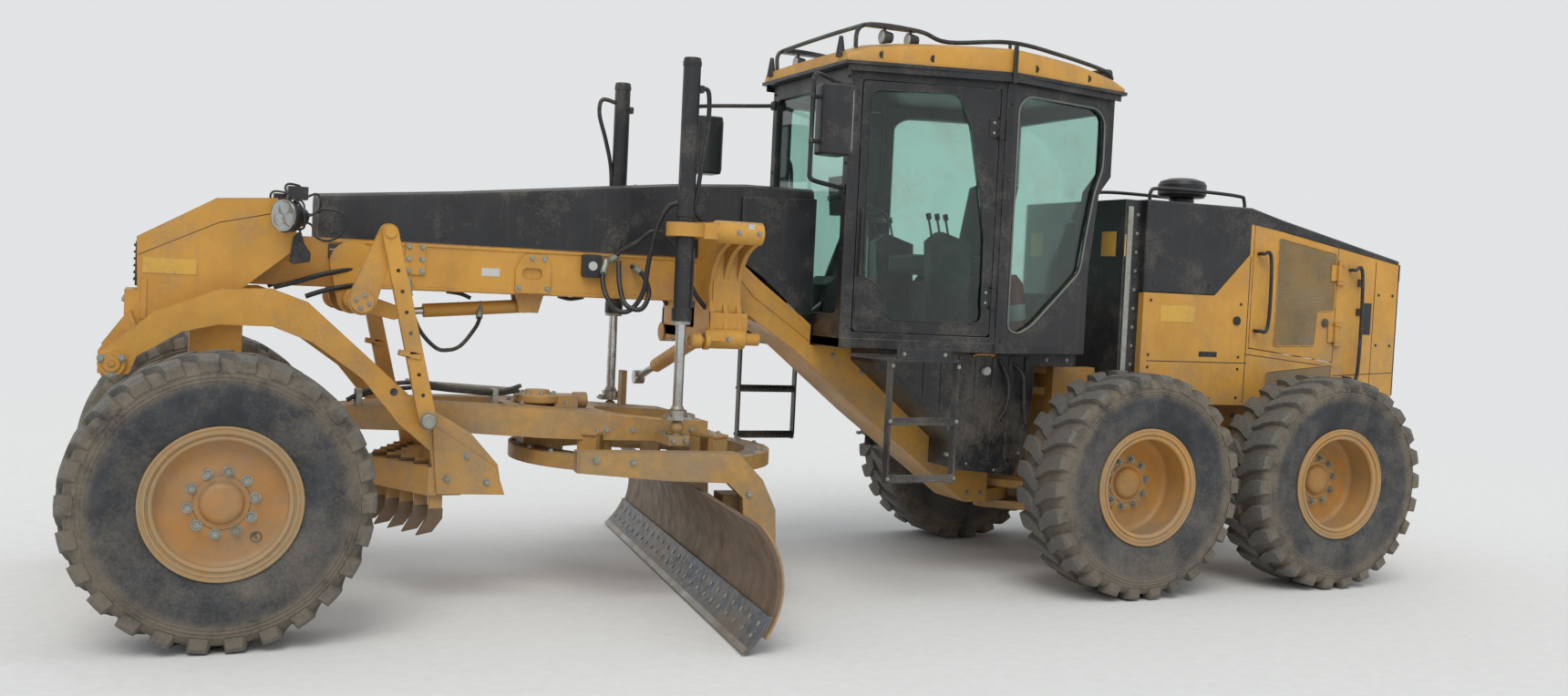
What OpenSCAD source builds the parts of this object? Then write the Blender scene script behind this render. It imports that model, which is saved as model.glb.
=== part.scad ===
// Motor grader: six wheels, a frame hinged behind the cab, a blade under a circle and
// drawbar, and a scarifier between the front wheels and the blade. Millimetres, +X forward,
// +Y to the machine's left, +Z up, ground at Z 0.
// Lengths along X are stations counted from the front axle, negative towards the rear.

/* [Wheels] */
// Distance from the front axle to the middle of the tandem
wheelbase = 5872; // [5850:1:5900]
// Distance between the two tandem axles
tandem_pitch = 1512; // [1440:1:1560]
// Distance between the centre planes of left and right tyres
track = 2065; // [2050:1:2100]
// Outer diameter of a tyre over its lugs
tyre_d = 1350; // [1320:1:1360]
// Section width of a tyre
tyre_w = 430; // [400:1:440]
// Diameter of the bead seat on a rim
seat_d = 635; // [620:1:650]
// Distance from a front wheel's centre plane out to its disc
front_dish = 110; // [80:1:130]
// Distance from a rear wheel's centre plane in to its disc
rear_dish = 40; // [20:1:80]
// Distance from the centre line to a kingpin
kingpin_y = 880; // [870:1:890]
// Length of a steering arm
steer_arm = 190; // [170:1:195]

/* [Frame] */
// Distance from the front axle to the rear end of the hood
rear_reach = 7672; // [7640:1:7700]
// Height of the underside of the front beam
beam_z = 1650; // [1645:1:1670]
// Height of the front beam
beam_h = 260; // [240:1:280]
// Width of the front beam
beam_w = 305; // [280:1:330]
// Distance from the front axle to the hitch
hitch_x = 4800; // [4780:1:4820]
// Radius of the hitch pins
hitch_r = 45; // [35:1:55]
// Height of the front axle's centre pin
axle_pin_z = 720; // [700:1:740]

/* [Cab and hood] */
// Height of the underside of the cab
cab_z = 1425; // [1420:1:1440]
// Height of the top of the cab's walls
cab_top = 3060; // [3030:1:3080]
// Half width of the cab at its door posts
cab_half = 800; // [780:1:820]
// Thickness of the cab's walls and doors
wall = 60; // [50:1:70]
// Half width of the hood
hood_half = 610; // [590:1:620]
// Height of the hood over the engine
hood_top = 2424; // [2400:1:2440]
// Thickness of the hood's sheet and doors
sheet = 30; // [20:1:35]

/* [Blade] */
// Length of the blade
blade_l = 3658; // [3500:1:3700]
// Radius of the moldboard's curve
blade_r = 413; // [408:1:418]
// Height of the top of the blade
blade_top = 630; // [600:1:640]
// Thickness of the moldboard
blade_t = 20; // [16:1:24]
// Angle of the blade seen from above, left end forward
blade_turn = 6.7; // [5:0.1:8]
// Distance from the front axle to the centre of the circle
circle_x = 2350; // [2345:1:2355]
// Outer diameter of the circle
circle_d = 1530; // [1510:1:1540]

/* [Cylinders] */
// Radius of a blade lift barrel
lift_r = 48; // [44:1:52]
// Radius of a blade lift rod
lift_rod_r = 27.5; // [24:0.5:30]
// Height of a blade lift barrel's trunnion
lift_z = 2050; // [2045:1:2055]
// Distance from the centre line to a blade lift cylinder
lift_y = 620; // [618:1:622]

/* [Hidden] */
$fn = 48;
gap = 0.3;
clear = 5;
yellow = [0.80, 0.57, 0.20];
black = [0.16, 0.16, 0.17];
rubber = [0.22, 0.21, 0.20];
steel = [0.45, 0.47, 0.50];
chrome = [0.82, 0.83, 0.85];
rust = [0.42, 0.30, 0.22];
glassy = [0.55, 0.68, 0.66, 0.5];

// The front axle's place, which centres the machine's length on the origin.
front_x = (rear_reach - tyre_d / 2) / 2;
beam_top = beam_z + beam_h;
wheel_z = tyre_d / 2;
// Wheel places: station, side
wheel_spots = [[0, 1], [0, -1], [-wheelbase + tandem_pitch / 2, 1], [-wheelbase + tandem_pitch / 2, -1],
    [-wheelbase - tandem_pitch / 2, 1], [-wheelbase - tandem_pitch / 2, -1]];
spindle_r = 55;
kingpin_r = 35;
tie_z = 620;
tie_r = 22;

// Cab plan: front corner, door post, rear corner on the left side.
cab_plan = [[-3350, 560], [-4300, cab_half], [-5050, 580]];
cab_floor = 60;
door_len = norm(cab_plan[1] - cab_plan[0]);
door_turn = atan2(cab_plan[1].y - cab_plan[0].y, cab_plan[1].x - cab_plan[0].x);
rear_len = norm(cab_plan[2] - cab_plan[1]);
rear_turn = atan2(cab_plan[2].y - cab_plan[1].y, cab_plan[2].x - cab_plan[1].x);
door_z = 1520;
door_top = 2985;
door_edge = 70;
hinge_r = 9;
hinge_out = 17;
hinge_h = 110;

// Hood side outline, from the lower front corner round.
hood_plan = [[-5480, 1120], [-5480, hood_top], [-6330, hood_top], [-6600, hood_top - 64],
    [-rear_reach, hood_top - 284], [-rear_reach, 1120]];
// Engine door outline: stations of its edges and its corners' heights.
hatch = [[-6360, 1500], [-6360, 2330], [-7110, 2210], [-7110, 1420]];

// Drawbar's front joint, and its lift ball studs.
pull = [-300, 950];
// Half opening of a lift barrel's trunnion frame, in X and Y.
yoke = [lift_r + clear, lift_r + 18];
stud_z = 965;
stud_r = 38;
ring_z = [720, 800];
ring_in = 620;
shoe_turns = [-115, -45, 45, 115];
tip = [-510, 170];
arm_y = [700, 800];
rail_z = [[130, 170], [500, 540]];
rail_x = -370;
shift_x = -2480;
shift_top = [500, 1440];
shift_low = [-470, 1160];

// Scarifier: arm pivot, crank shaft, lever tops, links' foot, and the cylinder's ends.
scar_pivot = [475, 1250];
crank = [-660, 1590];
lever_top = [-780, 1945];
link_foot = [-1000, 990];
scar_bracket = [-1620, 1585];
scar_lever = [-896, 1526];
arm_in = 470;
arm_out = 515;
lever_y = [535, 575];
link_y = [585, 625];

// Puts a piece drawn by its stations in the machine's frame.
module place() translate([front_x, 0, 0]) children();

// A side outline in X and Z, made solid from y0 to y1.
module slab(y0, y1) translate([0, y1, 0]) rotate([90, 0, 0]) linear_extrude(y1 - y0) children();

// An outline in Y and Z, made solid from x0 to x1.
module rib(x0, x1) translate([x0, 0, 0]) rotate([90, 0, 90]) linear_extrude(x1 - x0) children();

module box(low, high) translate(low) cube(high - low);

module both() {
    children();
    mirror([0, 1, 0]) children();
}

module pin_x(x0, x1, y, z, r) translate([x0, y, z]) rotate([0, 90, 0]) cylinder(r = r, h = x1 - x0);

module pin_y(x, y0, y1, z, r) translate([x, y1, z]) rotate([90, 0, 0]) cylinder(r = r, h = y1 - y0);

module pin_z(x, y, z0, z1, r) translate([x, y, z0]) cylinder(r = r, h = z1 - z0);

// A round bar from point a to point b.
module bar(a, b, r) {
    d = b - a;
    translate(a) rotate([0, acos(d.z / norm(d)), atan2(d.y, d.x)]) cylinder(r = r, h = norm(d));
}

// A strap outline with round ends between two points.
module strap(a, b, ra, rb) hull() {
    translate(a) circle(ra);
    translate(b) circle(rb);
}

// Tyre, its axle along Z: bead, sidewall, shoulder and tread.
module tyre() color(rubber) rotate_extrude() {
    half = tyre_w / 2;
    bore = seat_d / 2 + gap;
    tread = tyre_d / 2;
    side = [[bore, half - 50], [bore + 28, half - 38], [bore + 42, half - 38], [bore + 110, half - 8], [bore + 200, half],
        [tread - 70, half - 8], [tread - 25, half - 24], [tread, half - 65]];
    polygon(concat(side, [for (i = [len(side) - 1:-1:0]) [side[i][0], -side[i][1]]]));
}

// Rim, its axle along Z and its outer face up, with the disc at height dish.
module rim(dish) color(yellow) {
    half = tyre_w / 2;
    seat = seat_d / 2;
    lip = half - 38 + gap;
    difference() {
        union() {
            rotate_extrude() polygon([[seat - 18, -lip - 12], [seat + 34, -lip - 12], [seat + 34, -lip],
                [seat + 28, -lip], [seat, -half + 50 - gap], [seat, half - 50 + gap], [seat + 28, lip],
                [seat + 34, lip], [seat + 34, lip + 12], [seat - 18, lip + 12]]);
            translate([0, 0, dish - 10]) cylinder(r = seat - 5, h = 20);
            translate([0, 0, dish - 60]) cylinder(r = 100, h = 90);
        }
        translate([0, 0, dish - 61]) cylinder(r = spindle_r + gap, h = 61);
    }
}

// Turns a wheel drawn along Z into place with its outer face outwards.
module at_wheel(i) place() translate([wheel_spots[i][0], wheel_spots[i][1] * track / 2, wheel_z])
    rotate([-wheel_spots[i][1] * 90, 0, 0]) children();

module rear_frame() color(yellow) place() {
    // rails
    both() slab(300, 380) polygon([[-4980, 385], [-4980, 1335], [-5300, 1335], [-5330, 1100],
        [-7560, 1100], [-7560, 860], [-5500, 860], [-5300, 600], [-5200, 385]]);
    // hitch forks
    for (z = [385, 525, 1145, 1285]) translate([0, 0, z]) linear_extrude(50) hull() {
        translate([-hitch_x, 0]) circle(110);
        translate([-5080, -300]) square([100, 600]);
    }
    for (z = [385, 1145]) pin_z(-hitch_x, 0, z, z + 190, hitch_r);
    box([-5080, -300, 385], [-4980, 300, 1335]);
    // cross members and tail
    box([-7560, -300, 900], [-7440, 300, 1060]);
    difference() {
        box([-7660, -380, 640], [-7560, 380, 1100]);
        pin_z(-7610, 0, 630, 1110, 25);
    }
    box([-wheelbase - 90, -300, 900], [-wheelbase + 90, 300, 1060]);
    both() box([-wheelbase - 90, 300, 800], [-wheelbase + 90, 380, 870]);
}

module tandems() color(yellow) place() {
    pin_y(-wheelbase, -590, 590, wheel_z, 125);
    both() slab(580, 760) strap([-wheelbase - tandem_pitch / 2, wheel_z], [-wheelbase + tandem_pitch / 2, wheel_z], 190, 190);
    for (i = [2:5]) {
        side = wheel_spots[i][1];
        reach = track / 2 - rear_dish;
        translate([wheel_spots[i][0], 0, wheel_z]) rotate([-side * 90, 0, 0]) {
            translate([0, 0, 700]) cylinder(r = 140, h = reach - 60 - gap - 700);
            translate([0, 0, 700]) cylinder(r = spindle_r, h = reach - gap - 700);
        }
    }
    both() box([-wheelbase - 90, 300, wheel_z], [-wheelbase + 90, 380, 800 - gap]);
}

module engine_block() color(steel) place() box([-6800, -350, 1100 + gap], [-5600, 350, 2000]);

module bulkhead() color(black) place() difference() {
    box([-5480 + gap, -560, 1100 + gap], [-5340, 560, hood_top]);
    box([-5600, -500, 1160], [-5390, 500, hood_top - 60]);
}

module engine_hood() color(yellow) place() {
    hood_shell();
    both() for (z = hatch_hinges) hinge_post([hatch[2].x, hood_half], z);
}

module hood_shell() difference() {
    slab(-hood_half, hood_half) polygon(hood_plan);
    slab(-hood_half + sheet, hood_half - sheet) polygon([[-5480 - sheet, 1100], [-5480 - sheet, hood_top - sheet],
        [-6330, hood_top - sheet], [-6600, hood_top - 64 - sheet], [-rear_reach + 60, hood_top - 270 - sheet],
        [-rear_reach + 60, 1100]]);
    slab(-hood_half - 1, hood_half + 1) polygon(hatch);
    box([-rear_reach - 1, -450, 1250], [-rear_reach + 70, 450, 1980]);
}

module intake() color(black) place() {
    pin_z(-6240, 0, hood_top + gap, 2490, 90);
    pin_z(-6240, 0, 2480, 2650, 165);
}

// Hatch panel, left side, with hinge knuckles on its rear edge.
module hatch_panel() {
    x0 = hatch[2].x + clear;
    x1 = hatch[0].x - clear;
    slab(hood_half - sheet, hood_half) polygon([[x1, hatch[0].y + clear], [x1, hatch[1].y - clear],
        [x0, hatch[2].y - clear], [x0, hatch[3].y + clear]]);
    for (z = hatch_hinges) hinge_leaf([hatch[2].x, hood_half], z);
}

hatch_hinges = [1560, 1980];

// Moving half of a hinge: knuckle with its bore, and a leaf towards +X.
module hinge_leaf(at, z) translate([at.x, at.y + hinge_out, z]) difference() {
    union() {
        cylinder(r = hinge_r + 6, h = hinge_h);
        translate([3, -hinge_out, 0]) cube([60, 10, hinge_h]);
        translate([3, -hinge_out + 1, 0]) cube([11, hinge_out, hinge_h]);
    }
    translate([0, 0, -1]) cylinder(r = hinge_r + gap, h = hinge_h + 2);
}

module front_frame() color(yellow) place() difference() {
    union() {
        slab(-beam_w / 2, beam_w / 2) polygon([[-105, beam_z], [-105, beam_top], [-2850, beam_top],
            [-3000, 1790], [-3000, 1540], [-2700, beam_z]]);
        slab(-190, 190) polygon([[-2850, beam_top], [-2985, 1800], [-3275, 1591], [-3340, 1540], [-3340, cab_z - clear],
            [-3510, cab_z - clear], [-4350, 808], [-4350, 1280],
            [-4650, 1280], [-4650, 440], [-4490, 440], [-3740, 990], [-3225, 1398], [-2940, 1578], [-2800, beam_z]]);
        // hitch tongues
        for (z = [440, 1200]) translate([0, 0, z]) linear_extrude(80) hull() {
            translate([-hitch_x, 0]) circle(110);
            translate([-4640, -190]) square([40, 380]);
        }
        // nose
        slab(-320, 320) polygon([[370, 1425], [382, 1862], [23, 2073], [-264, 2093], [-289, 1979], [-380, beam_top],
            [-364, 1845], [-105, 1624]]);
        box([370, -320, 1290], [430, 320, 1600]);
        // axle carrier plates with the pin
        for (x = [-125, 75]) slab_x(x, x + 50, 140, axle_pin_z - 65, 1640);
        pin_x(-125, 125, 0, axle_pin_z, 40);
        box([-125, -140, 1100], [125, 140, 1640]);
        // drawbar clevis
        for (z = [860, 1010]) box([pull.x - 55, -60, z], [-100, 60, z + 30]);
        // scarifier pivots and crank bearings
        both() pin_y(scar_pivot.x, 300, arm_out + 15, scar_pivot.y, 45);
        both() slab(310, 350) polygon([[400, 1500], [540, 1300], [540, 1190], [410, 1190], [370, 1425]]);
        both() slab(beam_w / 2, beam_w / 2 + 40) strap([-660, 1780], crank, 120, 75);
        both() slab(40, 70) polygon([[-1560, beam_z + 10], [-1720, beam_z + 10], [-1690, 1550], [-1580, 1550]]);
        pin_y(scar_bracket.x, -70, 70, scar_bracket.y, 20);
        // cab floor carriers
        both() slab(150, 190) polygon([[-3500, cab_z - gap], [-4650, cab_z - gap], [-4650, 1270], [-4340, 1270],
            [-4340, 830], [-3500, 1400]]);
    }
    for (y = [-200, 200], z = [1365, 1525]) pin_x(390, 431, y, z, 13);
    pin_z(-hitch_x, 0, 430, 1290, hitch_r + gap);
    pin_z(pull.x, 0, 850, 1050, kingpin_r + gap);
    pin_y(crank.x, -400, 400, crank.y, 45 + gap);
}

module slab_x(x0, x1, half, z0, z1) box([x0, -half, z0], [x1, half, z1]);

module frame_cover() color(black) place() slab(-beam_w / 2, beam_w / 2) polygon([[-480, beam_top + gap], [-480, 2140],
    [-1190, 2200], [-1950, 2280], [-2440, 2330], [-2900, 2360], [-3330, 2360], [-3330, beam_top + gap]]);

module headlamps() color(black) place() both() {
    box([-390, 380, 1920], [-260, 500, 2080]);
    box([-335, 320 + gap, 1922], [-290, 385, 1947]);
}

module cab_outline(inset) {
    p = cab_plan;
    polygon([[p[0].x - inset, p[0].y - inset], [p[1].x, p[1].y - inset * 1.03], [p[2].x + inset, p[2].y - inset],
        [p[2].x + inset, -p[2].y + inset], [p[1].x, -p[1].y + inset * 1.03], [p[0].x - inset, -p[0].y + inset]]);
}

// A side facet's own frame: X along the facet to the rear, Y into the cab.
module on_door() translate(cab_plan[0]) rotate(door_turn) children();

module on_rear_side() translate(cab_plan[1]) rotate(rear_turn) children();

module cab_shell() color(black) place() {
    cab_walls();
    both() for (z = door_hinges) at_door_hinge() hinge_post([0, 0], z);
}

module cab_walls() difference() {
    translate([0, 0, cab_z]) linear_extrude(cab_top - cab_z) cab_outline(0);
    translate([0, 0, cab_z + cab_floor]) linear_extrude(cab_top - cab_z) cab_outline(wall);
    // windscreen and rear window
    box([-3450, -460, 1600], [-3300, 460, 2960]);
    box([-5100, -450, 1750], [-4950, 450, 2960]);
    both() on_door() box([door_edge, -20, door_z], [door_len - door_edge, wall + 40, door_top]);
    both() on_rear_side() box([90, -20, 1800], [rear_len - 90, wall + 40, 2960]);
}

module cab_roof() color(yellow) place() difference() {
    translate([0, 0, cab_top + gap]) linear_extrude(200) polygon([[-3300, 600], [-4300, 830], [-5240, 620],
        [-5240, -620], [-4300, -830], [-3300, -600]]);
    translate([0, 0, cab_top - 1]) linear_extrude(120) cab_outline(wall);
}

module cab_glass() color(glassy) place() {
    box([-3350 - wall / 2 - 4, -460 + gap, 1600 + gap], [-3350 - wall / 2 + 4, 460 - gap, 2960 - gap]);
    box([-5050 + wall / 2 - 4, -450 + gap, 1750 + gap], [-5050 + wall / 2 + 4, 450 - gap, 2960 - gap]);
    both() on_rear_side() box([90 + gap, wall / 2 - 4, 1800 + gap], [rear_len - 90 - gap, wall / 2 + 4, 2960 - gap]);
}

module operator_seat() color(black) place() {
    z = cab_z + cab_floor + gap;
    box([-4500, -200, z], [-4200, 200, z + 400]);
    box([-4600, -260, z + 400], [-4050, 260, z + 520]);
    box([-4700, -250, z + 450], [-4580, 250, z + 1150]);
}

module console() color(black) place() {
    z = cab_z + cab_floor + gap;
    box([-3600, -160, z], [-3450, 160, z + 350]);
    bar([-3550, 0, z + 330], [-3680, 0, z + 760], 45);
    both() box([-4300, 300, z], [-4050, 420, z + 620]);
}

module mirrors() color(black) place() both() {
    box([-3070, 880, 2480], [-3030, 1040, 2880]);
    for (z = [2500, 2860]) {
        bar([-3050, 900, z], [-3332, 540, z], 12);
        box([cab_plan[0].x + gap, 490, z - 25], [-3325, 555, z + 25]);
    }
}

module side_tanks() color(yellow) place() both() {
    box([-4080, 560, 700], [-3600, 900, 1400]);
    box([-3800, 190 + gap, 1250], [-3700, 565, 1330]);
}

module steps() color(black) place() both() {
    for (z = [760, 1060, 1340]) box([-3840, 900 + gap, z], [-3640, 1100, z + 30]);
    for (x = [-3860, -3640]) box([x, 900 + gap, 740], [x + 20, 1100, 1370]);
}

module lift_bolster() color(yellow) place() difference() {
    union() {
        // saddle round the beam and cover side
        both() box([-2800, beam_w / 2 + gap, 1440], [-2600, beam_w / 2 + 80, 2070]);
        box([-2800, -beam_w / 2 - 80, 1440], [-2600, beam_w / 2 + 80, 1520]);
        both() pin_y(-2700, beam_w / 2 + 40, lift_y + 60, 1960, 100);
        // trunnion frames round the lift barrels
        both() slab(lift_y - 60, lift_y + 60) polygon([[-2790, 1900], [-2770, 2040], [-circle_x - yoke.x, lift_z + 40],
            [-circle_x - yoke.x, lift_z - 40], [-2620, 1870]]);
        both() difference() {
            translate([-circle_x, lift_y, lift_z]) cube([2 * yoke.x + 50, 2 * yoke.y + 50, 80], center = true);
            translate([-circle_x, lift_y, lift_z]) cube([2 * yoke.x, 2 * yoke.y, 82], center = true);
        }
        // centre shift bracket
        box([-2650, 200, 1440], [-2530, 540, 1520]);
        pin_x(-2540, shift_x + 30, shift_top.x, shift_top.y, 20);
        pin_x(-2560, -2530, shift_top.x, shift_top.y, 50);
    }
    both() pin_x(-circle_x - 120, -circle_x + 120, lift_y, lift_z, 22 + gap);
}

door_hinges = [1700, 2700];

// The edge of the door opening at the post, X towards the door's handle side and Y outwards.
module at_door_hinge() on_door() translate([door_len - door_edge, 0, 0]) rotate(180) children();

// Cab door, left: panel with its window cut, and hinge knuckles at the post.
module door_panel() {
    difference() {
        on_door() box([door_edge + clear, 0, door_z + clear], [door_len - door_edge - clear, wall, door_top - clear]);
        on_door() door_window(0);
    }
    for (z = door_hinges) at_door_hinge() hinge_leaf([0, 0], z);
}

module door_window(inset) translate([0, wall + 20, 0]) rotate([90, 0, 0]) linear_extrude(wall + 40)
    polygon([[160 + inset, 1760 + inset], [160 + inset, 2900 - inset],
        [door_len - 160 - inset, 2900 - inset], [door_len - 160 - inset, 1640 + inset], [420, 1640 + inset]]);

module door_glass() color(glassy) on_door() intersection() {
    door_window(gap);
    box([0, wall / 2 - 4, 1500], [door_len, wall / 2 + 4, 3000]);
}

module lift_barrel(side) color(black) place() translate([-circle_x, side * lift_y, 0]) difference() {
    union() {
        pin_z(0, 0, 1550, 2970, lift_r);
        pin_z(0, 0, 1550, 1620, lift_r + 8);
        pin_x(-yoke.x - 25, yoke.x + 25, 0, lift_z, 22);
    }
    pin_z(0, 0, 1549, 2900, lift_rod_r + gap);
}

module lift_rod(side) color(chrome) place() translate([-circle_x, side * lift_y, 0]) {
    pin_z(0, 0, stud_z + stud_r + 2, 2500, lift_rod_r);
    pin_z(0, 0, stud_z + stud_r + 2, stud_z + stud_r + 57, 52);
}

shift_len = norm(shift_low - shift_top);
shift_tilt = atan2(shift_low.y - shift_top.y, shift_low.x - shift_top.x);

// The centre shift cylinder's own frame: X from its mount to its eye, in the plane of the cylinder.
module on_shift() place() translate([shift_x, shift_top.x, shift_top.y]) rotate([90, 0, 90]) rotate(shift_tilt) children();

module shift_barrel() color(black) on_shift() difference() {
    union() {
        translate([0, 0, -30]) cylinder(r = 45, h = 60);
        rotate([0, 90, 0]) cylinder(r = 42, h = 660);
    }
    translate([0, 0, -50]) cylinder(r = 20 + gap, h = 100);
    translate([50, 0, 0]) rotate([0, 90, 0]) cylinder(r = 22 + gap, h = 620);
}

module shift_rod() color(chrome) on_shift() {
    translate([320, 0, 0]) rotate([0, 90, 0]) cylinder(r = 22, h = shift_len - 320 - 20);
    translate([shift_len, 0, -30]) cylinder(r = 42, h = 60);
}

module drawbar_pivot() color(steel) place() {
    pin_z(pull.x, 0, 860, 1040, kingpin_r);
    box([pull.x - 50, -70, 895], [pull.x + 50, 70, 1005]);
    pin_y(pull.x, -112, 112, pull.y, 30);
}

module drawbar() color(yellow) place() difference() {
    union() {
        both() slab(75, 112) strap([pull.x, pull.y], [-440, pull.y], 50, 50);
        intersection() {
            slab(-700, 700) polygon([[-420, 900], [-420, 1000], [-1130, 1056], [-1660, 1041], [-2370, 980],
                [-2600, 980], [-2600, 866], [-2370, 866], [-1660, 877], [-1130, 900]]);
            translate([0, 0, 800]) linear_extrude(300) difference() {
                polygon([[-420, 112], [-1900, 450], [-2600, 450], [-2600, -450], [-1900, -450], [-420, -112]]);
                polygon([[-900, 60], [-1500, 220], [-1500, -220], [-900, -60]]);
                translate([-circle_x - 20, 0]) circle(300);
            }
        }
        // lift arms with ball studs
        both() box([-circle_x - 60, 440, 866], [-circle_x + 60, 670, 920]);
        both() pin_z(-circle_x, lift_y, 900, stud_z, 22);
        both() translate([-circle_x, lift_y, stud_z]) sphere(stud_r);
        // circle shoes, inside the ring
        for (a = shoe_turns) translate([-circle_x, 0, 0]) rotate(a) {
            box([ring_in - 70, -60, 690], [ring_in - clear, 60, 900]);
            box([ring_in - 70, -60, 690], [ring_in + 20, 60, ring_z[0] - clear]);
            box([ring_in - 150, -60, ring_z[1] + gap], [ring_in + 30, 60, 900]);
        }
        // circle drive
        pin_z(-1720, 0, 870, 1290, 120);
        // centre shift lug
        box([-2394, shift_low.x - 30, 866], [-2360, shift_low.x + 40, shift_low.y + 40]);
    }
    pin_y(pull.x, -150, 150, pull.y, 30 + gap);
}

// The circle's own frame: at its centre, turned with the blade.
module on_circle() place() translate([-circle_x, 0, 0]) rotate(-blade_turn) children();

module circle_part() color(yellow) on_circle() difference() {
    union() {
        difference() {
            pin_z(0, 0, ring_z[0], ring_z[1], circle_d / 2);
            pin_z(0, 0, ring_z[0] - 1, ring_z[1] + 1, ring_in);
        }
        both() slab(arm_y[0], arm_y[1]) polygon([[500, 845], [-380, 845], [-527, 700], [-607, 534], [-618, 328], [-580, 90],
            [-455, 90], [-440, 300], [-430, 450], [-415, 600], [-330, 680], [0, 690], [500, 730]]);
    }
    pin_y(tip.x, -900, 900, tip.y, 25 + gap);
}

module blade_bracket() color(yellow) on_circle() difference() {
    union() {
        pin_y(tip.x, -arm_y[1], arm_y[1], tip.y, 25);
        pin_y(tip.x, -arm_y[0] + clear, arm_y[0] - clear, tip.y, 45);
        both() box([-470, 450, 80], [-345, 650, 590]);
        both() box([tip.x, 450, tip.y - 40], [-400, 650, tip.y + 40]);
    }
    for (z = rail_z) box([rail_x - gap, -700, z[0] - gap], [-300, 700, z[1] + gap]);
}

blade_cx = 98;
blade_cz = 325;

module blade_arc(r0, r1, z0, z1, half) slab(-half, half) intersection() {
    translate([blade_cx, blade_cz]) difference() {
        circle(r1, $fn = 96);
        circle(r0, $fn = 96);
    }
    translate([-500, z0]) square([500, z1 - z0]);
}

module moldboard() color(rust) on_circle() {
    blade_arc(blade_r, blade_r + blade_t, 90, blade_top, blade_l / 2);
    for (z = rail_z) difference() {
        box([rail_x, -1350, z[0]], [-280, 1350, z[1]]);
        translate([blade_cx, 1400, blade_cz]) rotate([90, 0, 0]) cylinder(r = blade_r + 5, h = 2800, $fn = 96);
    }
}

module cutting_edge() color(steel) on_circle() blade_arc(blade_r - 16 - gap, blade_r - gap, 15, 190, blade_l / 2);

module scarifier() color(yellow) place() {
    both() difference() {
        union() {
            slab(arm_in, arm_out) polygon([[540, 1283], [293, 1505], [2, 1626], [-235, 1636], [-407, 1575], [-676, 1333],
                [-918, 1115], [-1242, 919], [-1391, 751], [-1404, 679], [-1065, 612], [-1034, 825], [-869, 966],
                [-681, 1196], [-434, 1373], [-240, 1448], [9, 1449], [170, 1409], [366, 1287], [400, 1200], [520, 1190]]);
            pin_y(link_foot.x, arm_in, link_y[1], link_foot.y, 20);
        }
        pin_y(scar_pivot.x, arm_in - 1, arm_out + 1, scar_pivot.y, 45 + gap);
    }
    // V block with shanks
    translate([0, 0, 590]) linear_extrude(150) polygon([[-780, 0], [-1030, arm_out], [-1200, arm_out],
        [-950, 0], [-1200, -arm_out], [-1030, -arm_out]]);
    for (i = [-4:4]) {
        y = i * 120;
        x = -865 - abs(y) * 0.45;
        slab(y - 12, y + 12) polygon([[x - 30, 770], [x + 40, 770], [x + 40, 480], [x + 95, 380], [x + 20, 400], [x - 30, 470]]);
    }
}

module scarifier_crank() color(yellow) place() {
    pin_y(crank.x, -lever_y[1], lever_y[1], crank.y, 45);
    both() slab(lever_y[0], lever_y[1]) strap(crank, lever_top, 70, 45);
    both() pin_y(lever_top.x, lever_y[0], link_y[0] - gap, lever_top.y, 18);
    slab(35, 75) strap(crank, scar_lever, 53, 40);
    pin_y(scar_lever.x, 30 + gap, 75, scar_lever.y, 18);
}

module scarifier_links() color(yellow) place() both() difference() {
    slab(link_y[0], link_y[1]) strap(link_foot, lever_top, 45, 40);
    pin_y(link_foot.x, link_y[0] - 1, link_y[1] + 1, link_foot.y, 20 + gap);
}

scar_len = norm(scar_lever - scar_bracket);
scar_tilt = atan2(scar_lever.y - scar_bracket.y, scar_lever.x - scar_bracket.x);

// The scarifier cylinder's own frame: X from its bracket to its eye.
module on_scar() place() translate([scar_bracket.x, 0, scar_bracket.y]) rotate([90, 0, 0]) rotate(scar_tilt) children();

module scarifier_barrel() color(black) on_scar() difference() {
    union() {
        translate([0, 0, -30]) cylinder(r = 38, h = 60);
        rotate([0, 90, 0]) cylinder(r = 38, h = 560);
    }
    translate([0, 0, -40]) cylinder(r = 20 + gap, h = 80);
    translate([45, 0, 0]) rotate([0, 90, 0]) cylinder(r = 20 + gap, h = 520);
}

module scarifier_rod() color(chrome) on_scar() {
    translate([60, 0, 0]) rotate([0, 90, 0]) cylinder(r = 20, h = scar_len - 60 - 10);
    translate([scar_len, 0, -30]) cylinder(r = 36, h = 60);
}

module front_axle() color(yellow) place() difference() {
    union() {
        rib(-65, 65) polygon([[-810, 600], [810, 600], [810, 750], [500, 800], [-500, 800], [-810, 750]]);
        pin_x(-70, 70, 0, axle_pin_z, 95);
        both() pin_z(0, kingpin_y, 600, 750, 70);
        both() box([-60, 790, 600], [60, kingpin_y, 750]);
        // lean bar
        both() box([55, 500, 700], [180, 560, 930]);
        box([140, -580, 880], [180, 580, 950]);
    }
    pin_x(-80, 80, 0, axle_pin_z, 40 + gap);
    both() pin_z(0, kingpin_y, 590, 760, kingpin_r + gap);
}

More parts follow.
